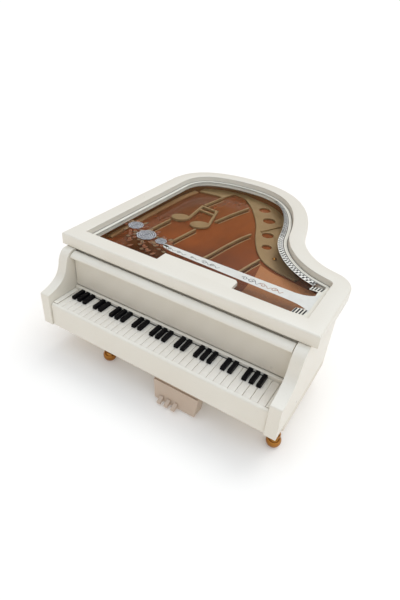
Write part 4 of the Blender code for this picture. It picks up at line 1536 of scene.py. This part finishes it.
@dataclass
class Harp:
    """Soundboard, gold plate, struts and the note emblem."""

    tray_inner: float = 10.2
    tray_floor: float = 71.4
    plate_knots: tuple[Point, ...] = (
        (-46.4, 168.5),
        (-35.1, 165.5),
        (-24.3, 155.5),
        (-14.2, 142.5),
        (-4.0, 126.5),
        (2.7, 113.0),
        (8.6, 100.0),
        (15.9, 87.0),
        (23.6, 77.0),
        (31.5, 70.5),
        (43.0, 65.8),
        (57.0, 63.0),
    )
    plate_holes: tuple[tuple[float, float, float], ...] = (
        (-8.2, 153.3, 5.2),
        (3.9, 136.0, 5.3),
        (13.9, 111.5, 4.8),
        (21.5, 93.4, 3.9),
    )
    note_tilt: float = 0.5
    stripe_paths: tuple[tuple[Point, ...], ...] = (
        ((-64.8, 51.0), (-61.9, 84.0)),
        ((-54.6, 129.0), (-50.4, 151.0)),
        ((-40.4, 51.0), (-38.6, 66.0), (-36.6, 82.0)),
        ((-31.0, 107.0), (-26.8, 127.0), (-21.6, 145.5)),
        ((-8.0, 50.0), (-6.2, 60.0), (-4.1, 75.5), (-1.0, 92.0), (1.6, 101.0)),
        ((21.0, 48.0), (22.8, 60.0), (25.0, 71.0)),
    )

    def build_stripes(self) -> None:
        """Painted shadow in a dark line, and the strut's painted reflection in the glossy floor in a
        thin gold line, beside each strut.
        """
        low = self.tray_floor + 0.02
        # The dark lines are painted shadow, and the gold lines are a painted reflection of each strut
        # in the glossy floor.
        for name, offset, width, finish in (
            ("shadow_lines", 1.45, 1.2, PAINTED_STRUT_SHADOW),
            ("painted_reflection_lines", 2.6, 0.8, HARP_GOLD),
        ):
            lines = []
            for knots in self.stripe_paths:
                path = [point + Vector((offset, -0.2 * offset)) for point in smooth_path(knots, 4)]
                lines.append(Workshop.prism("line", strip(path, width), low, low + 0.05))
            Workshop.finish(Workshop.gather(name, lines), finish, Body.CASE)

    def build_floor(self) -> None:
        """Tray and the raised panel in it."""
        low, high = edges("soundboard")
        tray = Workshop.prism("walnut_tray", PLAN.inset(TRAY_WALL + 0.3), low.z, high.z)
        hollow = PLAN.inset(self.tray_inner)
        Workshop.cut(tray, Workshop.prism("hollow", hollow, self.tray_floor, high.z + 5))
        Workshop.finish(tray, WALNUT, Body.CASE, ["soundboard"], "walnut", edge=0.2)
        Workshop.dress("tuning_block", WALNUT_LIGHT, edge=0.3)

    def build_plate(self) -> None:
        """Gold plate with its round holes."""
        low, high = edges("harp_plate")
        outer = [p for p in PLAN.inset(12.2) if p[0] < 60 and 60 < p[1] < 92]
        outer += [p for p in PLAN.inset(14.4) if p[0] > -24 and p[1] > 97]
        outer += [p for p in PLAN.inset(self.tray_inner + 0.8) if -75 < p[0] < -34 and p[1] > 150]
        inner = [(-75.0, 152.0), (-62.7, 153.8), (-49.8, 154.2)]
        inner += [tuple(point) for point in smooth_path(self.plate_knots, 6)]
        plate = Workshop.prism("gold_plate", outer + inner, low.z, high.z)
        for x, y, radius in self.plate_holes:
            hole = [(0, low.z - 3), (radius, low.z - 3), (radius, high.z + 5), (0, high.z + 5)]
            Workshop.cut(plate, Workshop.lathe("hole", hole, (x, y, 0), 40))
        Workshop.finish(plate, HARP_GOLD, Body.CASE, ["harp_plate"], "harp_gold", edge=0.25)

    def build_struts(self) -> None:
        """Struts, the band along the spine and the screw."""
        for node in frame["nodes"]:
            if node.startswith("strut_") or node == "spine_band":
                Workshop.dress(node, SPINE_GOLD if node == "spine_band" else HARP_GOLD, edge=0.3)
        Workshop.dress("harp_screw", BRIGHT_GOLD)

    def build_note(self) -> None:
        """Two beamed notes."""
        low, high = edges("note_emblem")
        note = Workshop.prism(
            "gold_note", ellipse((-58.0, 94.3), 7.4, 5.4, self.note_tilt, 40), low.z, high.z
        )
        bars = (
            ((-51.5, 95.5), (-55.0, 124.4)),
            ((-31.9, 96.5), (-39.9, 123.9)),
            ((-56.0, 124.6), (-38.8, 123.3)),
            ((-54.8, 117.6), (-37.2, 115.7)),
        )
        for lift, bar in enumerate(bars):
            # Each bar stands a shade lower than the last, so that no two tops are flush.
            top = high.z - 0.07 - 0.05 * lift
            Workshop.join(note, Workshop.prism("bar", strip(bar, 2.0), low.z + 0.04 * lift + 0.04, top))
        head = ellipse((-38.2, 92.9), 8.0, 5.7, self.note_tilt, 40)
        Workshop.join(note, Workshop.prism("head", head, low.z + 0.3, high.z - 0.3))
        Workshop.finish(note, HARP_GOLD, Body.CASE, ["note_emblem"], "harp_gold", edge=0.3)

    def build(self) -> None:
        """Build everything under the window."""
        self.build_floor()
        self.build_plate()
        self.build_struts()
        self.build_stripes()
        self.build_note()


@dataclass
class Movement:
    """The wind-up musical movement inside the case."""

    brass: tuple[str, ...] = (
        "movement_bed",
        "comb_block",
        "cylinder_bracket",
        "gear_bracket",
        "fan_bracket",
        "spring_barrel",
        "cylinder_pinion",
        "cylinder_gear",
        "music_cylinder",
    )
    steel: tuple[str, ...] = (
        "mainspring",
        "winding_arbor",
        "cylinder_arbor",
        "music_comb",
        "comb_screw_1",
        "comb_screw_2",
        "governor_fan",
    )

    def build(self) -> None:
        """Dress the movement's pieces."""
        for node in self.brass:
            Workshop.dress(node, BRASS)
        for node in self.steel:
            Workshop.dress(node, STEEL)
        Workshop.dress("winding_key", BRIGHT_GOLD, edge=0.3)


# ---------------------------------------------------------------- studio


@dataclass
class Studio:
    """Pale floor, soft lamps and the camera."""

    lens: float = 27.05
    sensor: float = 36.0
    azimuth: float = 29.31
    elevation: float = 35.71
    roll: float = 4.5
    eye: tuple[float, float, float] = (0.1286, -0.2714, 0.2356)
    sky_lean: tuple[float, float, float] = (0.20, -0.16, 0.967)
    dim_sky: Colour = (0.31, 0.195, 0.085)
    bright_sky: Colour = (1.16, 1.31, 1.50)
    sky_edges: Point = (0.25, 0.9)
    sun_aim: tuple[float, float, float] = (-0.12, -0.50, -0.86)
    sun_energy: float = 0.75
    sun_spread: float = 0.7

    def build_camera(self) -> None:
        """Place the camera."""
        data = bpy.data.cameras.new("Camera")
        data.lens = self.lens
        data.sensor_width = self.sensor
        data.clip_start = 0.01
        camera = bpy.data.objects.new("Camera", data)
        bpy.context.scene.collection.objects.link(camera)
        az, el, roll = (math.radians(a) for a in (self.azimuth, self.elevation, self.roll))
        ahead = Vector(
            (-math.sin(az) * math.cos(el), math.cos(az) * math.cos(el), -math.sin(el))
        )
        right = Vector((math.cos(az), math.sin(az), 0.0))
        up = right.cross(ahead)
        level = right * math.cos(roll) + up * math.sin(roll)
        upright = up * math.cos(roll) - right * math.sin(roll)
        turn = Matrix((level, upright, -ahead)).transposed()
        camera.matrix_world = Matrix.Translation(self.eye) @ turn.to_4x4()
        bpy.context.scene.camera = camera

    def build_sun(self) -> None:
        """Soft sun from high up behind the piano."""
        data = bpy.data.lights.new("Soft sun", "SUN")
        data.energy = self.sun_energy
        data.angle = self.sun_spread
        sun = bpy.data.objects.new("Soft sun", data)
        bpy.context.scene.collection.objects.link(sun)
        sun.rotation_euler = Vector(self.sun_aim).to_track_quat("-Z", "Y").to_euler()

    def build_sky(self) -> None:
        """Bright cool sky overhead, dimmer and warmer lower down."""
        world = bpy.data.worlds.new("Studio sky")
        recipe = Recipe(world, "Background")
        way = recipe.add("ShaderNodeTexCoord", {}, {}, "Generated")
        values = {0: way, 1: self.sky_lean}
        share = recipe.add("ShaderNodeVectorMath", {"operation": "DOT_PRODUCT"}, values, "Value")
        share = recipe.contrast(share, *self.sky_edges)
        recipe.set(Color=recipe.between(share, self.dim_sky, self.bright_sky), Strength=1.0)
        bpy.context.scene.world = world

    def build(self) -> None:
        """Build the floor, the sun, the sky and the camera."""
        floor = Workshop.block("studio_floor", (-6e4, 6e4), (-6e4, 6e4), (-20, 0))
        floor.data.transform(Matrix.Scale(MM, 4))
        floor.data.materials.append(PAPER.make())
        bpy.context.scene.view_settings.view_transform = "Standard"
        self.build_sun()
        self.build_sky()
        self.build_camera()


def main() -> None:
    """Build every piece in order."""
    logging.basicConfig(level=logging.INFO, format="%(message)s")
    kinds = (Lid, WindowPrint, Case, Feet, PedalBox, Keyboard, Harp, Movement, Studio)
    for kind in kinds:
        log.info("building %s", kind.__name__)
        kind().build()
    bpy.context.view_layer.update()


if __name__ == "__main__":
    main()
